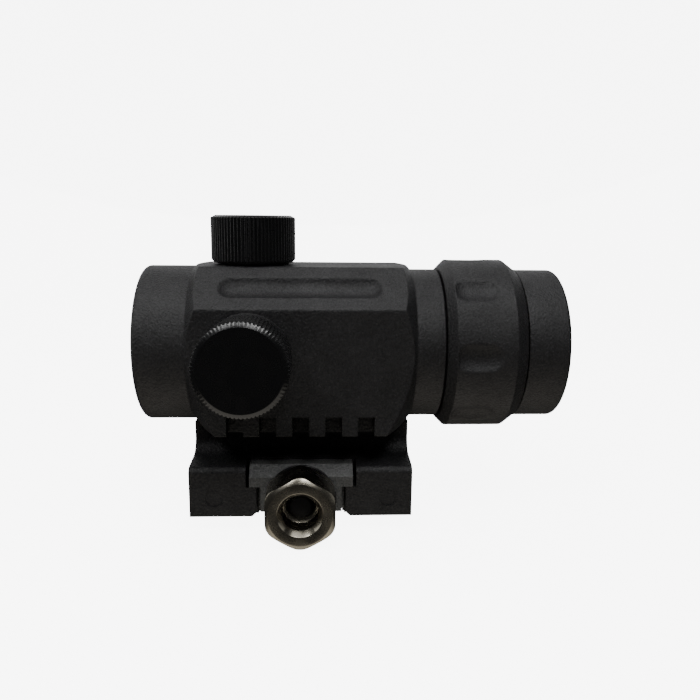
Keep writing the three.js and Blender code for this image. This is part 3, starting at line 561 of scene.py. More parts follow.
FACET_RUN = np.array([TOP_HALF_WIDTH - BODY_SIDE, BODY_TOP - SHOULDER])
FACET_NORMAL = np.array([FACET_RUN[1], -FACET_RUN[0]]) / np.linalg.norm(FACET_RUN)
FACET_ANGLE = math.atan2(FACET_NORMAL[1], FACET_NORMAL[0])
FACET_DISTANCE = FACET_NORMAL @ (BODY_SIDE, SHOULDER)
FLATS = [
    (BODY_SIDE, 0),
    (FACET_DISTANCE, FACET_ANGLE),
    (BODY_TOP, math.pi / 2),
    (FACET_DISTANCE, math.pi - FACET_ANGLE),
    (BODY_SIDE, math.pi),
    (-BODY_BOTTOM, -math.pi / 2),
]


def section_radius(angle):
    """Distance from the optical axis to the body's flats."""
    radius = 1e3
    for distance, direction in FLATS:
        facing = math.cos(angle - direction)
        if facing > 0.2:
            radius = softest(radius, distance / facing, 0.35)
    return float(radius)


def hollow_radius(angle, x, centre_angle, centre_r, cutter_r, half_length, middle=0.0):
    """Where a ray from the axis meets a round-ended cutter that lies along it, or none."""
    beyond = max(abs(x - middle) - half_length, 0)
    across = centre_r * math.sin(angle - centre_angle)
    left = cutter_r ** 2 - beyond ** 2 - across ** 2
    if left <= 0 or math.cos(angle - centre_angle) < 0:
        return math.inf
    return centre_r * math.cos(angle - centre_angle) - math.sqrt(left)


FLUTE_CUTTER_R = (FLUTE_WIDTH ** 2 / 4 + FLUTE_DEPTH ** 2) / (2 * FLUTE_DEPTH)
FLUTE_MIDDLE = np.array([BODY_SIDE + TOP_HALF_WIDTH, SHOULDER + BODY_TOP]) / 2
FLUTE_CENTRE = FLUTE_MIDDLE + FACET_NORMAL * (FLUTE_CUTTER_R - FLUTE_DEPTH)
FLUTE_ANGLE = math.atan2(FLUTE_CENTRE[1], FLUTE_CENTRE[0])
FLUTE_CENTRE_R = float(np.linalg.norm(FLUTE_CENTRE))


def body_radius(angle, x):
    """The body's surface with its two flutes and the slots along its lower edges."""
    radius = section_radius(angle)
    for flute_angle in (FLUTE_ANGLE, math.pi - FLUTE_ANGLE):
        half = (FLUTE_LENGTH - FLUTE_WIDTH) / 2
        hollow = hollow_radius(angle, x, flute_angle, FLUTE_CENTRE_R, FLUTE_CUTTER_R, half)
        if hollow < radius + 0.3:
            radius = float(softest(radius, hollow, 0.3))
    in_slot = any(abs(x - centre) < SLOT_WIDTH / 2 for centre in SLOT_CENTRES)
    if in_slot and math.sin(angle) < -0.1:
        beside = (BODY_SIDE - SLOT_DEPTH) / max(abs(math.cos(angle)), 1e-6)
        above = (BODY_BOTTOM + SLOT_HEIGHT) / math.sin(angle)
        radius = min(radius, max(beside, above))
    return radius


def body_stations():
    """Places along the body where its surface is worked out: fine at the flute ends, double at slot walls."""
    flute_end = FLUTE_LENGTH / 2
    ends = [flute_end + 0.15 - 0.22 * step for step in range(14)]
    walls = [
        centre + side * (SLOT_WIDTH / 2 + nudge)
        for centre in SLOT_CENTRES
        for side in (-1, 1)
        for nudge in (-0.04, 0.04)
    ]
    return sorted(ends + [-end for end in ends] + walls)


STATIONS = body_stations()


def housing_outline(angle):
    radius = section_radius(angle)
    rear_run = CONE_RUN * abs(radius - BELL_R) + 0.05
    front_run = CONE_RUN * abs(radius - NECK_R) + 0.05
    middle = [(body_radius(angle, x), x) for x in STATIONS]
    groove = [(NOSE_R, 29.9), (NOSE_R - 1.2, 29.9), (NOSE_R - 1.2, 31.3), (NOSE_R, 31.3)]
    return [
        (SEAT_R + 0.4, BELL_REAR, 0.1),
        (BELL_R, BELL_REAR, 2.0),
        (BELL_R, BODY_REAR, 0.5),
        (radius, BODY_REAR + rear_run, 0.35),
        *middle,
        (radius, BODY_FRONT - front_run, 0.35),
        (NECK_R, BODY_FRONT, 0.5),
        (NECK_R, NOSE_X, 0.3),
        (NOSE_R, NOSE_X),
        *groove,
        (NOSE_R, 35.2),
        (NOSE_R - 0.4, 35.2),
        (NOSE_R - 0.4, NOSE_END, 0.2),
        (BORE_R, NOSE_END, 0.2),
        (BORE_R, REAR_SEAT),
        (SEAT_R, REAR_SEAT),
        (SEAT_R, BELL_REAR + 0.4),
    ]


def housing_angles():
    """Rays about the optical axis: close together at corners, flutes and slots."""
    degrees = {round(1.5 * step, 3) for step in range(240)}
    corners = [(BODY_SIDE, SHOULDER), (TOP_HALF_WIDTH, BODY_TOP), (BODY_SIDE, BODY_BOTTOM)]
    slot_roof, slot_wall = BODY_BOTTOM + SLOT_HEIGHT, BODY_SIDE - SLOT_DEPTH
    corners += [(BODY_SIDE, slot_roof), (slot_wall, slot_roof), (slot_wall, BODY_BOTTOM)]
    extra = []
    for y, z in corners:
        at = math.degrees(math.atan2(z, y))
        extra += [at + nudge for nudge in (-0.9, -0.45, -0.2, 0, 0.2, 0.45, 0.9)]
    middle = math.degrees(FLUTE_ANGLE)
    extra += [middle + 0.6 * step for step in range(-15, 16)]
    degrees |= {round(at % 360, 3) for at in extra} | {round((180 - at) % 360, 3) for at in extra}
    kept = []
    for at in sorted(degrees):
        if not kept or at - kept[-1] > 0.12:
            kept.append(at)
    return [math.radians(at) for at in kept]


def make_housing():
    housing = turned("housing", TUBE, housing_outline, housing_angles(), dissolve=True)
    _, windage_top, _ = reach("windage_bush", WINDAGE)
    windage_base = windage_top - BUSH_FLANGE
    _, battery_top, _ = reach("main_housing", BATTERY)
    boss_foot = BODY_SIDE - 0.05
    windage_boss = turned("boss", WINDAGE, [
        (0, BOSS_ROOT),
        (WINDAGE_ROOT_R, BOSS_ROOT),
        (WINDAGE_ROOT_R, boss_foot),
        (WINDAGE_BOSS_R, boss_foot, 0.55),
        (WINDAGE_BOSS_R, windage_base, 0.3),
        (0, windage_base),
    ], 128)
    battery_boss = turned("boss", BATTERY, [
        (0, BOSS_ROOT),
        (BATTERY_BOSS_R, BOSS_ROOT),
        (BATTERY_BOSS_R, 17.6),
        *thread(BATTERY_BOSS_R, 0.22, 17.9, battery_top - 0.3),
        (BATTERY_BOSS_R - 0.2, battery_top),
        (0, battery_top),
    ], 128)
    join(housing, windage_boss, battery_boss)
    screw_holes = [rod(PART, TAPPED_R, 11, 14.4, x=x) for x in (-SCREW_X, SCREW_X)]
    return cut(
        housing,
        rod(BATTERY, CELL_POCKET_R, CELL_FLOOR, battery_top + 1, segments=96),
        rod(ELEVATION, BUSH_HOLE_R, 9, 20),
        rod(WINDAGE, BUSH_HOLE_R, 9, 20),
        rod(PIVOT_ACROSS, PIN_HOLE_R, -14.5, 14.5, segments=24),
        *screw_holes,
    )


install(make_housing(), "main_housing")


# ---------------- windows, rings and objective bell


def dome(height, crown, outer, steps=10):
    """A shallow dome from the axis to its edge."""
    radii = [outer * step / steps for step in range(steps + 1)]
    return [(r, height + crown * (1 - (r / outer) ** 2)) for r in radii]


def window_outline(low, high, radius, crown):
    """A domed disc; a negative crown domes it towards the rear."""
    edge = radius - 0.35
    under = dome(low - min(crown, 0), crown, edge)
    over = dome(high - max(crown, 0), crown, edge)
    return under + [(radius, under[-1][1] + 0.2), (radius, over[-1][1] - 0.2)] + over[::-1]


def make_window(node, crown):
    low, high, radius = reach(node, TUBE)
    install(turned(node, TUBE, window_outline(low, high, radius, crown), 128), node)


def make_lock_ring(node, outward):
    """The threaded ring that holds a window, with two spanner notches on its outer face."""
    low, high, radius = reach(node, TUBE)
    outer_face, inner_face = (high, low) if outward > 0 else (low, high)
    bore = radius - 1.4
    ring = turned(node, TUBE, [
        (bore, inner_face),
        *thread(radius, 0.18, inner_face, outer_face - outward * 0.25, 0.45),
        (radius - 0.3, outer_face, 0.08),
        (bore + 0.5, outer_face, 0.08),
        (bore, outer_face - outward * 0.5, 0.08),
    ], 128)
    floor = outer_face - outward * 0.9
    x0, x1 = sorted((floor, outer_face + outward))
    install(cut(ring, block(x0, x1, -15, 15, AXIS_Z - 0.8, AXIS_Z + 0.8)), node)


make_window("rear_window", -0.25)
make_window("objective_window", 0.25)
make_lock_ring("rear_retaining_ring", -1)
make_lock_ring("objective_retaining_ring", 1)

BELL_START, BELL_FRONT, OBJECTIVE_R = reach("objective_bell", TUBE)
FRONT_SEAT = 45.2
OBJECTIVE_REAR = 44.2
BELL_BORE_R, BELL_NECK_R = 11.8, 12.8
install(turned("objective_bell", TUBE, [
    (BELL_BORE_R, BELL_START),
    (BELL_NECK_R, BELL_START, 0.2),
    (BELL_NECK_R, OBJECTIVE_REAR),
    (OBJECTIVE_R, OBJECTIVE_REAR, 0.25),
    (OBJECTIVE_R, BELL_FRONT, 1.8),
    (SEAT_R + 0.2, BELL_FRONT, 0.1),
    (SEAT_R, BELL_FRONT - 0.3, 0.1),
    *thread(SEAT_R + 0.2, 0.2, FRONT_SEAT + 4.2, FRONT_SEAT + 2.0, 0.45),
    (SEAT_R, FRONT_SEAT),
    (BELL_BORE_R + 0.3, FRONT_SEAT),
    (BELL_BORE_R, FRONT_SEAT - 0.5),
], 180), "objective_bell")


# ---------------- brightness ring

RING_REAR, RING_FRONT, RING_R = reach("brightness_ring", TUBE)
RING_FLAT = (29.9, 41.4)
RING_BORE_R, RING_POCKET_R, RING_POCKET_X = 14.38, 15.2, 35.5
DIMPLE_COUNT, DIMPLE_CUTTER_R, DIMPLE_DEPTH = 8, 4.7, 1.0
DIMPLE_ENDS = (32.3, 35.9)
CLICK_COUNT, CLICK_X, CLICK_R = 12, 37.2, 0.45


def ring_radius(angle, x):
    middle, half = sum(DIMPLE_ENDS) / 2, (DIMPLE_ENDS[1] - DIMPLE_ENDS[0]) / 2
    pitch = 2 * math.pi / DIMPLE_COUNT
    nearest = round(angle / pitch) * pitch
    centre_r = RING_R - DIMPLE_DEPTH + DIMPLE_CUTTER_R
    hollow = hollow_radius(angle, x, nearest, centre_r, DIMPLE_CUTTER_R, half, middle)
    return RING_R if hollow > RING_R + 0.2 else float(softest(RING_R, hollow, 0.2))


def ring_outline(angle):
    stations = np.linspace(RING_FLAT[0] + 0.3, RING_FLAT[1] - 0.3, 44)
    return [
        (RING_BORE_R, RING_REAR, 0.15),
        (15.9, RING_REAR, 0.2),
        (RING_R, RING_FLAT[0], 0.35),
        *[(ring_radius(angle, x), x) for x in stations],
        (RING_R, RING_FLAT[1], 0.35),
        (15.75, RING_FRONT, 0.15),
        (RING_POCKET_R, RING_FRONT),
        (RING_POCKET_R, RING_POCKET_X),
        (RING_BORE_R, RING_POCKET_X),
    ]


def make_brightness_ring():
    ring = turned("brightness_ring", TUBE, ring_outline, 288, dissolve=True)
    notches = []
    for step in range(CLICK_COUNT):
        angle = (step + 0.5) * 2 * math.pi / CLICK_COUNT
        y, z = RING_POCKET_R * math.cos(angle), RING_POCKET_R * math.sin(angle)
        notches.append(rod(TUBE, CLICK_R, CLICK_X - 1, CLICK_X + 1, x=y, y=z, segments=12))
    return cut(ring, *notches)


def make_seal(node, place, axis_name):
    """A rubber ring of round section."""
    low, high, radius = reach(node, place)
    minor = (high - low) / 2
    middle = (high + low) / 2
    circle = [
        (radius - minor + minor * math.cos(turn), middle + minor * math.sin(turn))
        for turn in evenly(16)
    ]
    install(turned(node, place, circle, 96), node, axis_name)


install(make_brightness_ring(), "brightness_ring")
make_seal("ring_o_ring", TUBE, "tube")
BOARD_LOW, BOARD_HIGH, BOARD_R = reach("contact_board", TUBE)
BOARD_BORE_R = 14.02
BOARD_OUTLINE = collar(BOARD_BORE_R, BOARD_R, BOARD_LOW, BOARD_HIGH, 0.05, 0.05)
install(turned("contact_board", TUBE, BOARD_OUTLINE), "contact_board")


# ---------------- collimator and gimbal

INNER_REAR, INNER_FRONT, INNER_R = reach("inner_tube", TUBE)
INNER_BORE_R = 10.5
LENS_SEAT_X, LENS_SEAT_R = 20.7, 11.05


def baffle(start, end, pitch=0.7, depth=0.3):
    """Fine grooves inside the tube that swallow stray light."""
    corners = []
    for step in range(round((end - start) / pitch)):
        corners += [(INNER_BORE_R, end - step * pitch), (INNER_BORE_R + depth, end - (step + 0.5) * pitch)]
    return corners


def make_inner_tube():
    tube = turned("inner_tube", TUBE, [
        (INNER_BORE_R, INNER_REAR, 0.1),
        (INNER_R, INNER_REAR, 0.3),
        (INNER_R, INNER_FRONT, 0.1),
        (LENS_SEAT_R, INNER_FRONT, 0.05),
        (LENS_SEAT_R, LENS_SEAT_X),
        (INNER_BORE_R, LENS_SEAT_X),
        *baffle(-17.4, 16.2),
    ], 128)
    ends = ((-12.5, -10.4), (10.4, 12.5))
    return cut(tube, *[rod(PIVOT_UPRIGHT, PIN_HOLE_R, *end, segments=24) for end in ends])


def make_lens():
    low, high, radius = reach("reflector_lens", TUBE)
    edge = 0.55
    return turned("reflector_lens", TUBE, [
        *dome(low, edge, radius),
        (radius, high - edge),
        *dome(high - edge, edge, radius)[::-1],
    ], 128)


def make_gimbal_ring():
    low, high, radius = reach("gimbal_ring", TUBE)
    ring = turned("gimbal_ring", TUBE, collar(radius - 0.9, radius, low, high, 0.1, 0.15), 128)
    pivots = (PIVOT_ACROSS, PIVOT_UPRIGHT)
    return cut(ring, *[rod(pivot, PIN_HOLE_R, -14, 14, segments=24) for pivot in pivots])


def make_pin(node, upright):
    low, high = box_mm(node)
    centre = (low + high) / 2
    place = placed((1, 0, 0), (0, 1, 0) if upright else (0, 0, 1), centre)
    half = (high - low)[2 if upright else 1] / 2
    outline = [(0, -half), (PIN_R, -half, 0.12), (PIN_R, half, 0.12), (0, half)]
    install(turned(node, place, outline, 32), node)


install(make_inner_tube(), "inner_tube")
install(make_lens(), "reflector_lens")
RING_LOW, RING_HIGH, LENS_RING_R = reach("reflector_ring", TUBE)
CLEAR_R = 9.9  # the light path through the lens's ring
install(turned("reflector_ring", TUBE, [
    (CLEAR_R, RING_LOW), (LENS_RING_R, RING_LOW), (LENS_RING_R, RING_HIGH, 0.1), (CLEAR_R, RING_HIGH, 0.2),
]), "reflector_ring")
install(make_gimbal_ring(), "gimbal_ring")
make_pin("gimbal_pin_left", False)
make_pin("gimbal_pin_right", False)
make_pin("gimbal_pin_upper", True)
make_pin("gimbal_pin_lower", True)


# ---------------- turrets

KNURL_COUNT, KNURL_DEPTH = 72, 0.24
CAP_R, CAP_BORE_R, CAP_SEAL_R, CAP_ROOF = 8.6, 6.75, 7.8, 7.6
CAP_FOOT_CHAMFER = 0.6
CAP_EDGE_WIDTH, CAP_EDGE_DEPTH = 0.95, 0.5
SCALE_MARKS = 36
DIAL_FLOOR = 3.0  # above the bush's flange
DIAL_BORE_R, DIAL_STEM_R = 2.1, 2.02


def cap_wall(angle, low, high, radius, count, depth):
    """Points up a cap's wall: a chamfered foot, ribs, and a conical edge that the ribs run out into."""
    wave = 0.5 - 0.5 * math.cos(count * angle)
    ribs = radius - depth * wave ** 1.3
    foot = [
        (min(radius - CAP_FOOT_CHAMFER + rise, ribs), low + rise)
        for rise in np.linspace(0, CAP_FOOT_CHAMFER, 6)
    ]
    edge = [
        (min(radius - CAP_EDGE_WIDTH * share, ribs), high - CAP_EDGE_DEPTH * (1 - share))
        for share in np.linspace(0, 0.9, 9)
    ]
    edge.append((radius - CAP_EDGE_WIDTH, high, 0.08))
    return foot + edge


def cap_outline(low, high, radius, bore, seal, roof):
    """A knurled cap that is open below."""

    def outline(angle):
        return [
            (bore, low + 1.2, 0.08),
            (seal, low + 0.9),
            (seal, low, 0.05),
            *cap_wall(angle, low, high, radius, KNURL_COUNT, KNURL_DEPTH),
            (radius - 2 * CAP_EDGE_WIDTH, high - 0.06, 0.1),
            (0, high - 0.06),
            (0, roof),
            (bore, roof, 0.3),
            *thread(bore + 0.2, 0.2, low + 4.4, low + 1.9),
        ]

    return outline


def bush_outline(low, high, radius):
    """The threaded collar round a dial, with an engraved scale on its rim."""
    base = high - BUSH_FLANGE

    def outline(angle):
        turn = (angle * SCALE_MARKS / (2 * math.pi)) % 1
        top = high - (0.14 if turn < 0.1 or turn > 0.9 else 0)
        return [
            (DIAL_BORE_R, low),
            (3.5, low, 0.2),
            (3.5, base + 0.06),
            (radius, base + 0.06, 0.1),
            *thread(radius, 0.22, base + 1.4, high - 0.3),
            (radius - 0.25, high - 0.15),
            (radius - 0.3, top),
            (5.15, top),
            (5.15, base + DIAL_FLOOR),
            (DIAL_BORE_R, base + DIAL_FLOOR),
        ]

    return outline


def make_turret(kind, place):
    bush = reach(f"{kind}_bush", place)
    install(turned("bush", place, bush_outline(*bush), 10 * SCALE_MARKS, dissolve=True), f"{kind}_bush", kind)
    base = bush[1] - BUSH_FLANGE
    dial_rest = base + DIAL_FLOOR + 0.15

    low, high, radius = reach(f"{kind}_dial", place)
    dial = turned("dial", place, [
        (0, low),
        (DIAL_STEM_R, low, 0.15),
        (DIAL_STEM_R, dial_rest),
        (radius, dial_rest, 0.1),
        (radius, high - 0.4, 0.08),
        (radius - 0.4, high, 0.08),
        (0, high),
    ], 96)
    slot = extruded("slot", bar(-6, 6, 0.6), high - 1.0, high + 1, place)
    across = place @ Matrix.Rotation(math.pi / 2, 4, "Z")
    pointer = extruded("pointer", bar(3.2, 5.5, 0.25), high - 0.2, high + 1, across)
    install(soften(cut(dial, slot, pointer), 0.06), f"{kind}_dial", kind)

    low, high, radius = reach(f"{kind}_plunger", place)
    install(turned("plunger", place, [
        (0, low), (1.0, low, 0.3), (radius, low + 1.1, 0.3), (radius, high, 0.2), (0, high),
    ], 48), f"{kind}_plunger", kind)

    make_seal(f"{kind}_o_ring", place, kind)

    low, high, _ = reach(f"{kind}_cap", place)
    cap = cap_outline(low, high, CAP_R, CAP_BORE_R, CAP_SEAL_R, base + CAP_ROOF)
    install(turned("cap", place, cap, 8 * KNURL_COUNT, dissolve=True), f"{kind}_cap", kind)


make_turret("elevation", ELEVATION)
make_turret("windage", WINDAGE)


# ---------------- battery compartment

CAP_LOW, CAP_HIGH, BATTERY_CAP_R = reach("battery_cap", BATTERY)
BATTERY_KNURL, BATTERY_KNURL_DEPTH = 90, 0.2


def make_battery_cap():
    roof, bore = 20.35, 11.4

    def outline(angle):
        return [
            (bore, CAP_LOW),
            *cap_wall(angle, CAP_LOW, CAP_HIGH, BATTERY_CAP_R, BATTERY_KNURL, BATTERY_KNURL_DEPTH),
            (0, CAP_HIGH),
            (0, roof),
            (bore, roof, 0.2),
        ]

    body = turned("battery_cap", BATTERY, outline, 6 * BATTERY_KNURL, dissolve=True)
    return cut(body, extruded("slot", bar(-6.5, 6.5, 0.9, 0.85), CAP_HIGH - 1.3, CAP_HIGH + 1, BATTERY))


def make_coin_cell():
    low, high, radius = reach("coin_cell", BATTERY)
    return turned("coin_cell", BATTERY, [
        (0, low),
        (8.3, low, 0.3),
        (8.5, low + 0.35, 0.1),
        (9.3, low + 0.3, 0.1),
        (radius, low + 0.5, 0.3),
        (radius, high, 0.3),
        (8.9, high, 0.05),
        (8.8, high - 0.07, 0.05),
        (0, high - 0.07),
    ], 128)


def make_battery_contact():
    low, high, radius = reach("battery_contact", BATTERY)
    under = [(0, low + 0.25), (1.2, low + 0.25, 0.4), (5.5, low, 0.4), (radius, low)]
    over = [(radius, low + 0.2), (5.5, low + 0.2, 0.4), (1.2, high, 0.4), (0, high)]
    return turned("battery_contact", BATTERY, under + over, 64)


install(make_battery_cap(), "battery_cap", "battery")
install(make_coin_cell(), "coin_cell", "battery")
install(make_battery_contact(), "battery_contact", "battery")
make_seal("battery_o_ring", BATTERY, "battery")


# ---------------- riser

RISER_LOW, RISER_HIGH = box_mm("riser_base")
BLOCK_SIDE = RISER_HIGH.y
BLOCK_BOTTOM = RISER_LOW.z
CHANNEL = 10.8
RAIL_WIDEST_Z = -2.97
SEAT_HALF_WIDTH = 7.6
NECK_HALF_WIDTH = 5.4
JAW_SLOT_WIDE, JAW_SLOT_NARROW = 11.0, 8.9
JAW_SLOT_TIGHT, SLOT_STEP = 8.62, 12.6  # the slot guides the jaw only behind this depth
JAW_THROAT, THROAT_STEP = 8.26, 11.75  # and narrows again round the jaw's tail
JAW_STEP = 1.24
BEYOND = 16.0  # past the near faces of the block and the jaw
BOLT_R = 2.45
BOLT_HEAD_R = 3.6
SCREW_HOLE_R, SCREW_HEAD_HOLE_R, SCREW_HEAD_SEAT = 1.65, 2.9, 2.5
SCREW_R, SCREW_HEAD_R, SOCKET_R = 1.5, 2.75, 1.25
MARK_X, MARK_Z, MARK_R, MARK_DEPTH = 17.3, -1.1, 1.8, 0.15
ALONG_X = placed((0, 1, 0), (0, 0, 1), (0, 0, 0))
ALONG_Y = placed((1, 0, 0), (0, 0, 1), (0, 0, 0))  # heights run towards -Y


def riser_outline():
    right = [
        (NECK_HALF_WIDTH, RISER_HIGH.z),
        (NECK_HALF_WIDTH, 5.94, 3.2),
        (BLOCK_SIDE, 5.2, 1.3),
        (BLOCK_SIDE, BLOCK_BOTTOM, 0.4),
    ]
    far_claw = [
        (CHANNEL - (RAIL_WIDEST_Z - BLOCK_BOTTOM), BLOCK_BOTTOM, 0.15),
        (CHANNEL, RAIL_WIDEST_Z, 0.15),
        (CHANNEL, 0.4, 0.1),
        (SEAT_HALF_WIDTH, 0.4),
        (SEAT_HALF_WIDTH, 0),
    ]
    near_claw = [
        (-SEAT_HALF_WIDTH, 0),
        (-SEAT_HALF_WIDTH, 0.4),
        (-CHANNEL, 0.4),
        (-CHANNEL, BLOCK_BOTTOM),
    ]
    left = [(-corner[0], *corner[1:]) for corner in reversed(right)]
    return right + far_claw + near_claw + left


def make_riser():
    riser = extruded("riser", riser_outline(), RISER_LOW.x, RISER_HIGH.x, ALONG_X)
    soften(riser, 0.85, 5)
    mouth = JAW_SLOT_NARROW + 2
    narrow = [
        (-mouth, BLOCK_BOTTOM - 1),
        (mouth, BLOCK_BOTTOM - 1),
        (JAW_SLOT_NARROW, BLOCK_BOTTOM + 1),
        (JAW_SLOT_NARROW, JAW_STEP + 0.5),
        (-JAW_SLOT_NARROW, JAW_STEP + 0.5),
        (-JAW_SLOT_NARROW, BLOCK_BOTTOM + 1),
    ]
    screw_steps = ((SCREW_HOLE_R, -1, 14), (SCREW_HEAD_HOLE_R, -1, SCREW_HEAD_SEAT))
    screws = [rod(PART, *step, x=x) for x in (-SCREW_X, SCREW_X) for step in screw_steps]
    marks = [rod(ALONG_Y, MARK_R, BLOCK_SIDE - MARK_DEPTH, BEYOND, x=x, y=MARK_Z) for x in (-MARK_X, MARK_X)]
    bell_room = [
        (0, BELL_REAR - 2),
        (BELL_R + 0.06, BELL_REAR - 2),
        (BELL_R + 0.06, BODY_REAR + 0.5),
        (0, BODY_REAR + 0.5),
    ]
    foot, roof = BLOCK_BOTTOM - 1, JAW_STEP + 0.5
    cut(
        riser,
        turned("relief", TUBE, bell_room, 180),
        extruded("slot", narrow, SLOT_STEP, BEYOND, ALONG_Y),
        block(-JAW_SLOT_TIGHT, JAW_SLOT_TIGHT, -BEYOND, -THROAT_STEP, foot, roof),
        block(-JAW_THROAT, JAW_THROAT, -BEYOND, -9.2, foot, roof),
        block(-JAW_SLOT_WIDE, JAW_SLOT_WIDE, -BEYOND, -9.4, JAW_STEP, 9),
        rod(BOLT, BOLT_R + 0.1, -BEYOND, 10),
        block(-BOLT_R - 0.3, BOLT_R + 0.3, -CHANNEL, CHANNEL, -1, 0.6),
        rod(BOLT, BOLT_HEAD_R + 0.25, -BEYOND, -12.8),
        *screws,
        *marks,
    )
    return soften(riser, 0.14, 2)


def make_riser_screw(node):
    low, high = box_mm(node)
    place = placed((1, 0, 0), (0, 1, 0), ((low.x + high.x) / 2, 0, 0))
    head_top = SCREW_HEAD_SEAT - 0.1
    body = turned("screw", place, [
        (0, low.z),
        (SCREW_HEAD_R, low.z, 0.35),
        (SCREW_HEAD_R, head_top, 0.1),
        (SCREW_R, head_top),
        (SCREW_R, head_top + 1),
        *thread(SCREW_R, 0.18, head_top + 1.2, high.z - 0.3),
        (1.2, high.z),
        (0, high.z),
    ], 64)
    hexagon = [(SOCKET_R * math.cos(turn), SOCKET_R * math.sin(turn)) for turn in evenly(6)]
    install(soften(cut(body, extruded("socket", hexagon, low.z - 1, 1.6, place)), 0.05), node, "elevation")


install(make_riser(), "riser_base")
make_riser_screw("riser_screw_front")
make_riser_screw("riser_screw_rear")


# ---------------- rail clamp

JAW_LOW, JAW_HIGH = box_mm("clamp_jaw")
JAW_HALF_NARROW, JAW_FRONT_HALF, JAW_TAIL_HALF = 8.56, 8.05, 8.2
JAW_FRONT_END, JAW_TAIL_START = -13.2, -11.8
HOOK = 10.75


def make_jaw():
    face = JAW_LOW.y
    wide = extruded("jaw", [
        (face, 1.3),
        (-9.7, 1.3),
        (-9.7, JAW_HIGH.z),
        (-12.4, JAW_HIGH.z),
        (face, JAW_HIGH.z - 1.95),
    ], JAW_LOW.x, JAW_HIGH.x, ALONG_X)
    drop = -2.92 - JAW_LOW.z
    narrow = extruded("jaw", [
        (face, JAW_LOW.z),
        (-HOOK + drop, JAW_LOW.z),
        (-HOOK, JAW_LOW.z + drop),
        (-HOOK, 1.8),
        (face, 1.8),
    ], -JAW_HALF_NARROW, JAW_HALF_NARROW, ALONG_X)
    jaw = join(wide, narrow)
    stretches = ((JAW_FRONT_HALF, -BEYOND, JAW_FRONT_END), (JAW_TAIL_HALF, JAW_TAIL_START, -8))
    reliefs = [
        block(*sorted((side * half, side * 9)), start, end, JAW_LOW.z - 1, JAW_STEP + 0.05)
        for half, start, end in stretches
        for side in (-1, 1)
    ]
    cut(jaw, rod(BOLT, BOLT_R + 0.15, 8, BEYOND), *reliefs)
    return soften(jaw, 0.16, 2)


NUT_REAR, NUT_FACE, _ = reach("clamp_nut", BOLT)
NUT_HALF_FLATS = 6.7
NUT_CORNER_R = 7.25
NUT_RECESS_R = 4.4
NUT_CHAMFER_START = 6.15


def nut_radius(angle):
    """Hexagon with a corner at the top and rounded edges."""
    sector = math.pi / 3
    offset = (angle - math.pi / 2 + sector / 2) % sector - sector / 2
    flat = NUT_HALF_FLATS / math.cos(sector / 2 - abs(offset))
    return float(softest(flat, NUT_CORNER_R, 0.3))


def nut_outline(angle):
    """The chamfer cones meet the flats in the curved edges of a real nut."""
    radius = nut_radius(angle)
    chamfer = (radius - NUT_CHAMFER_START) * math.tan(math.radians(32))
    rear_chamfer = (radius - NUT_HALF_FLATS + 0.15) * math.tan(math.radians(28))
    thread_end = 18.1
    return [
        (BOLT_R + 0.1, NUT_REAR, 0.1),
        (NUT_HALF_FLATS - 0.15, NUT_REAR, 0.1),
        (radius, NUT_REAR + rear_chamfer, 0.2),
        (radius, NUT_FACE - chamfer, 0.2),
        (NUT_CHAMFER_START, NUT_FACE, 0.15),
        (NUT_RECESS_R, NUT_FACE, 0.2),
        (NUT_RECESS_R - 0.9, NUT_FACE - 1.2, 0.2),
        (NUT_RECESS_R - 0.9, thread_end + 0.5, 0.1),
        (BOLT_R + 0.1, thread_end),
    ]


def make_cross_bolt():
    low, high, _ = reach("cross_bolt", BOLT)
    head_end = low + 2.5
    bolt = turned("bolt", BOLT, [
        (0, low),
        (BOLT_HEAD_R, low, 0.4),
        (BOLT_HEAD_R, head_end, 0.1),
        (BOLT_R, head_end),
        (BOLT_R, 12.0),
        *thread(BOLT_R, 0.2, 12.2, high - 0.4),
        (BOLT_R - 0.4, high, 0.1),
        (0, high),
    ], 72)
    low_z = box_mm("cross_bolt")[0].z
    flat = block(-4, 4, -10.6, 10.6, low_z - 2, -2.95)
    driver = extruded("slot", bar(-5, 5, 0.5), low - 1, low + 0.9, BOLT)
    return soften(cut(bolt, flat, driver), 0.06, 2, 50)


def make_washer():
    low, high, radius = reach("clamp_washer", BOLT)
    bore = BOLT_R + 0.1
    return turned("washer", BOLT, [
        (bore, low, 0.08), (radius, low, 0.1), (radius, high, 0.15), (bore, high, 0.08),
    ], 96)


install(make_jaw(), "clamp_jaw", "bolt")
install(turned("nut", BOLT, nut_outline, 192), "clamp_nut", "bolt")
install(make_cross_bolt(), "cross_bolt", "bolt")
install(make_washer(), "clamp_washer", "bolt")

# small sprung and boxed pieces keep their CAD shape
for carried in ("click_spring", "wiper_contact", "return_spring", "led_holder", "led_emitter"):
    node = frame["nodes"][carried]
    finish = finish_of(SLOT_OF[carried], "tube", TUBE)
    if not node.material_slots:
        node.data.materials.append(finish)
    for slot in node.material_slots:
        slot.material = finish


# ---------------- studio

FLOOR_Z = cad_bounds[0][2] / MM - 0.05
FLOOR_FLAT_R = 420.0
WALL_R = 800.0
WALL_TOP = 900.0
PAPER_GLOW = 7.0  # over-exposed, as in a light tent
GLASS_GLOW = 1.2  # what the glass and the inside of the tube see of it


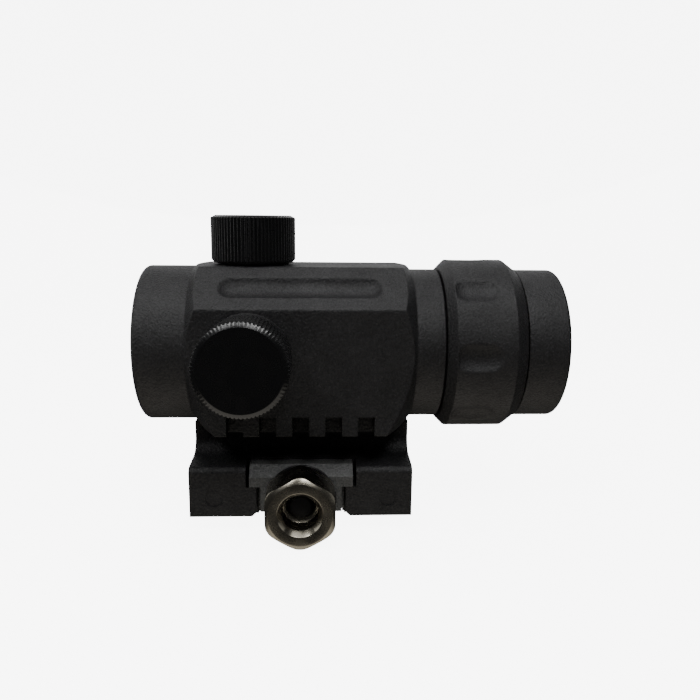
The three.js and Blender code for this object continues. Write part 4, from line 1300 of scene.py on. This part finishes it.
def make_studio_mesh():
    """A pale floor that curves up into a wall all round."""
    curve = [
        (0, FLOOR_Z),
        *[
            (
                FLOOR_FLAT_R + (WALL_R - FLOOR_FLAT_R) * math.sin(turn),
                FLOOR_Z + (WALL_R - FLOOR_FLAT_R) * (1 - math.cos(turn)),
            )
            for turn in np.linspace(0, math.pi / 2, 24)
        ],
        (WALL_R, WALL_TOP),
    ]
    build = bmesh.new()
    rings = []
    for angle in evenly(96):
        rings.append([build.verts.new((r * math.cos(angle), r * math.sin(angle), h)) for r, h in curve])
    for ring, following in zip(rings, rings[1:] + rings[:1]):
        for k in range(1, len(curve)):
            build.faces.new((ring[k - 1], following[k - 1], following[k], ring[k]))
    bmesh.ops.remove_doubles(build, verts=build.verts, dist=MERGE_DISTANCE)
    mesh = mesh_from(build, "studio_floor", Matrix.Scale(MM, 4))
    mesh.polygons.foreach_set("use_smooth", [True] * len(mesh.polygons))
    return mesh


def make_paper(name, glow):
    """A pale bowl that is lit by itself and neither lights the object nor stops its lights."""
    floor = add_object(name, make_studio_mesh())
    nodes = Nodes(name)
    fibres = nodes.noise(0.02, detail=4.0)
    colour = nodes.colours(fibres, (0.87, 0.87, 0.87), (0.90, 0.90, 0.90))
    nodes.feed(nodes.shader, Emission_Color=(1, 1, 1, 1), Emission_Strength=glow)
    floor.data.materials.append(nodes.finish(colour, 0.9, Specular_IOR_Level=0.1))
    floor.visible_diffuse = False
    floor.visible_glossy = False
    floor.visible_shadow = False
    return floor


def make_studio():
    """The bowl that the camera sees, and the dimmer one that is seen through glass."""
    make_paper("studio_floor", PAPER_GLOW).visible_transmission = False
    make_paper("studio_floor_in_glass", GLASS_GLOW).visible_camera = False


def soft_light(name, position, size, radiance, colour=(1, 1, 1), target=(0, 0, AXIS_Z)):
    """A rectangular panel in millimetres, with its brightness as seen from the object."""
    data = bpy.data.lights.new(name, "AREA")
    data.shape = "RECTANGLE"
    data.size, data.size_y = (side * MM for side in size)
    data.energy = radiance * math.pi * data.size * data.size_y
    data.color = colour
    light = add_object(name, data)
    light.visible_camera = False
    light.location = Vector(position) * MM
    direction = Vector(target) - Vector(position)
    light.rotation_euler = direction.to_track_quat("-Z", "Y").to_euler()


def set_world(strength):
    world = bpy.data.worlds.new("studio_light")
    world.use_nodes = True
    background = world.node_tree.nodes["Background"]
    background.inputs["Color"].default_value = (1, 1, 1, 1)
    background.inputs["Strength"].default_value = strength
    bpy.context.scene.world = world


make_studio()
set_world(0.035)
soft_light("overhead", (-10, -90, 475), (600, 560), 1.45)
soft_light("key_right", (95, -293, 396), (170, 110), 10.0)
soft_light("key_left", (-218, -243, 380), (170, 110), 10.0)
soft_light("left_panel", (-560, 60, 160), (420, 360), 1.3)
soft_light("right_panel", (560, -160, 120), (300, 320), 0.4)
soft_light("back_panel", (0, 520, 260), (1300, 620), 0.7)
soft_light("table_bounce", (0, -110, -330), (700, 520), 0.8, (1.0, 0.94, 0.84))


# ---------------- camera

CAMERA_PLACE = Vector((3.61, -141.88, 53.83))
CAMERA_YAW, CAMERA_PITCH, CAMERA_ROLL = 2.63, 11.0, 0.58
CAMERA_LENS, SENSOR = 34.8, 36.0


def make_camera():
    yaw, pitch, roll = (math.radians(angle) for angle in (CAMERA_YAW, CAMERA_PITCH, CAMERA_ROLL))
    forward = Vector((math.sin(yaw) * math.cos(pitch), math.cos(yaw) * math.cos(pitch), -math.sin(pitch)))
    level = Vector((math.cos(yaw), -math.sin(yaw), 0))
    above = level.cross(forward)
    right = math.cos(roll) * level + math.sin(roll) * above
    up = math.cos(roll) * above - math.sin(roll) * level
    data = bpy.data.cameras.new("camera")
    data.lens = CAMERA_LENS
    data.sensor_width = SENSOR
    data.clip_start = 0.005
    data.clip_end = 10
    camera = add_object("camera", data)
    turn = Matrix([right, up, -forward]).transposed().to_4x4()
    camera.matrix_world = Matrix.Translation(CAMERA_PLACE * MM) @ turn
    bpy.context.scene.camera = camera


make_camera()
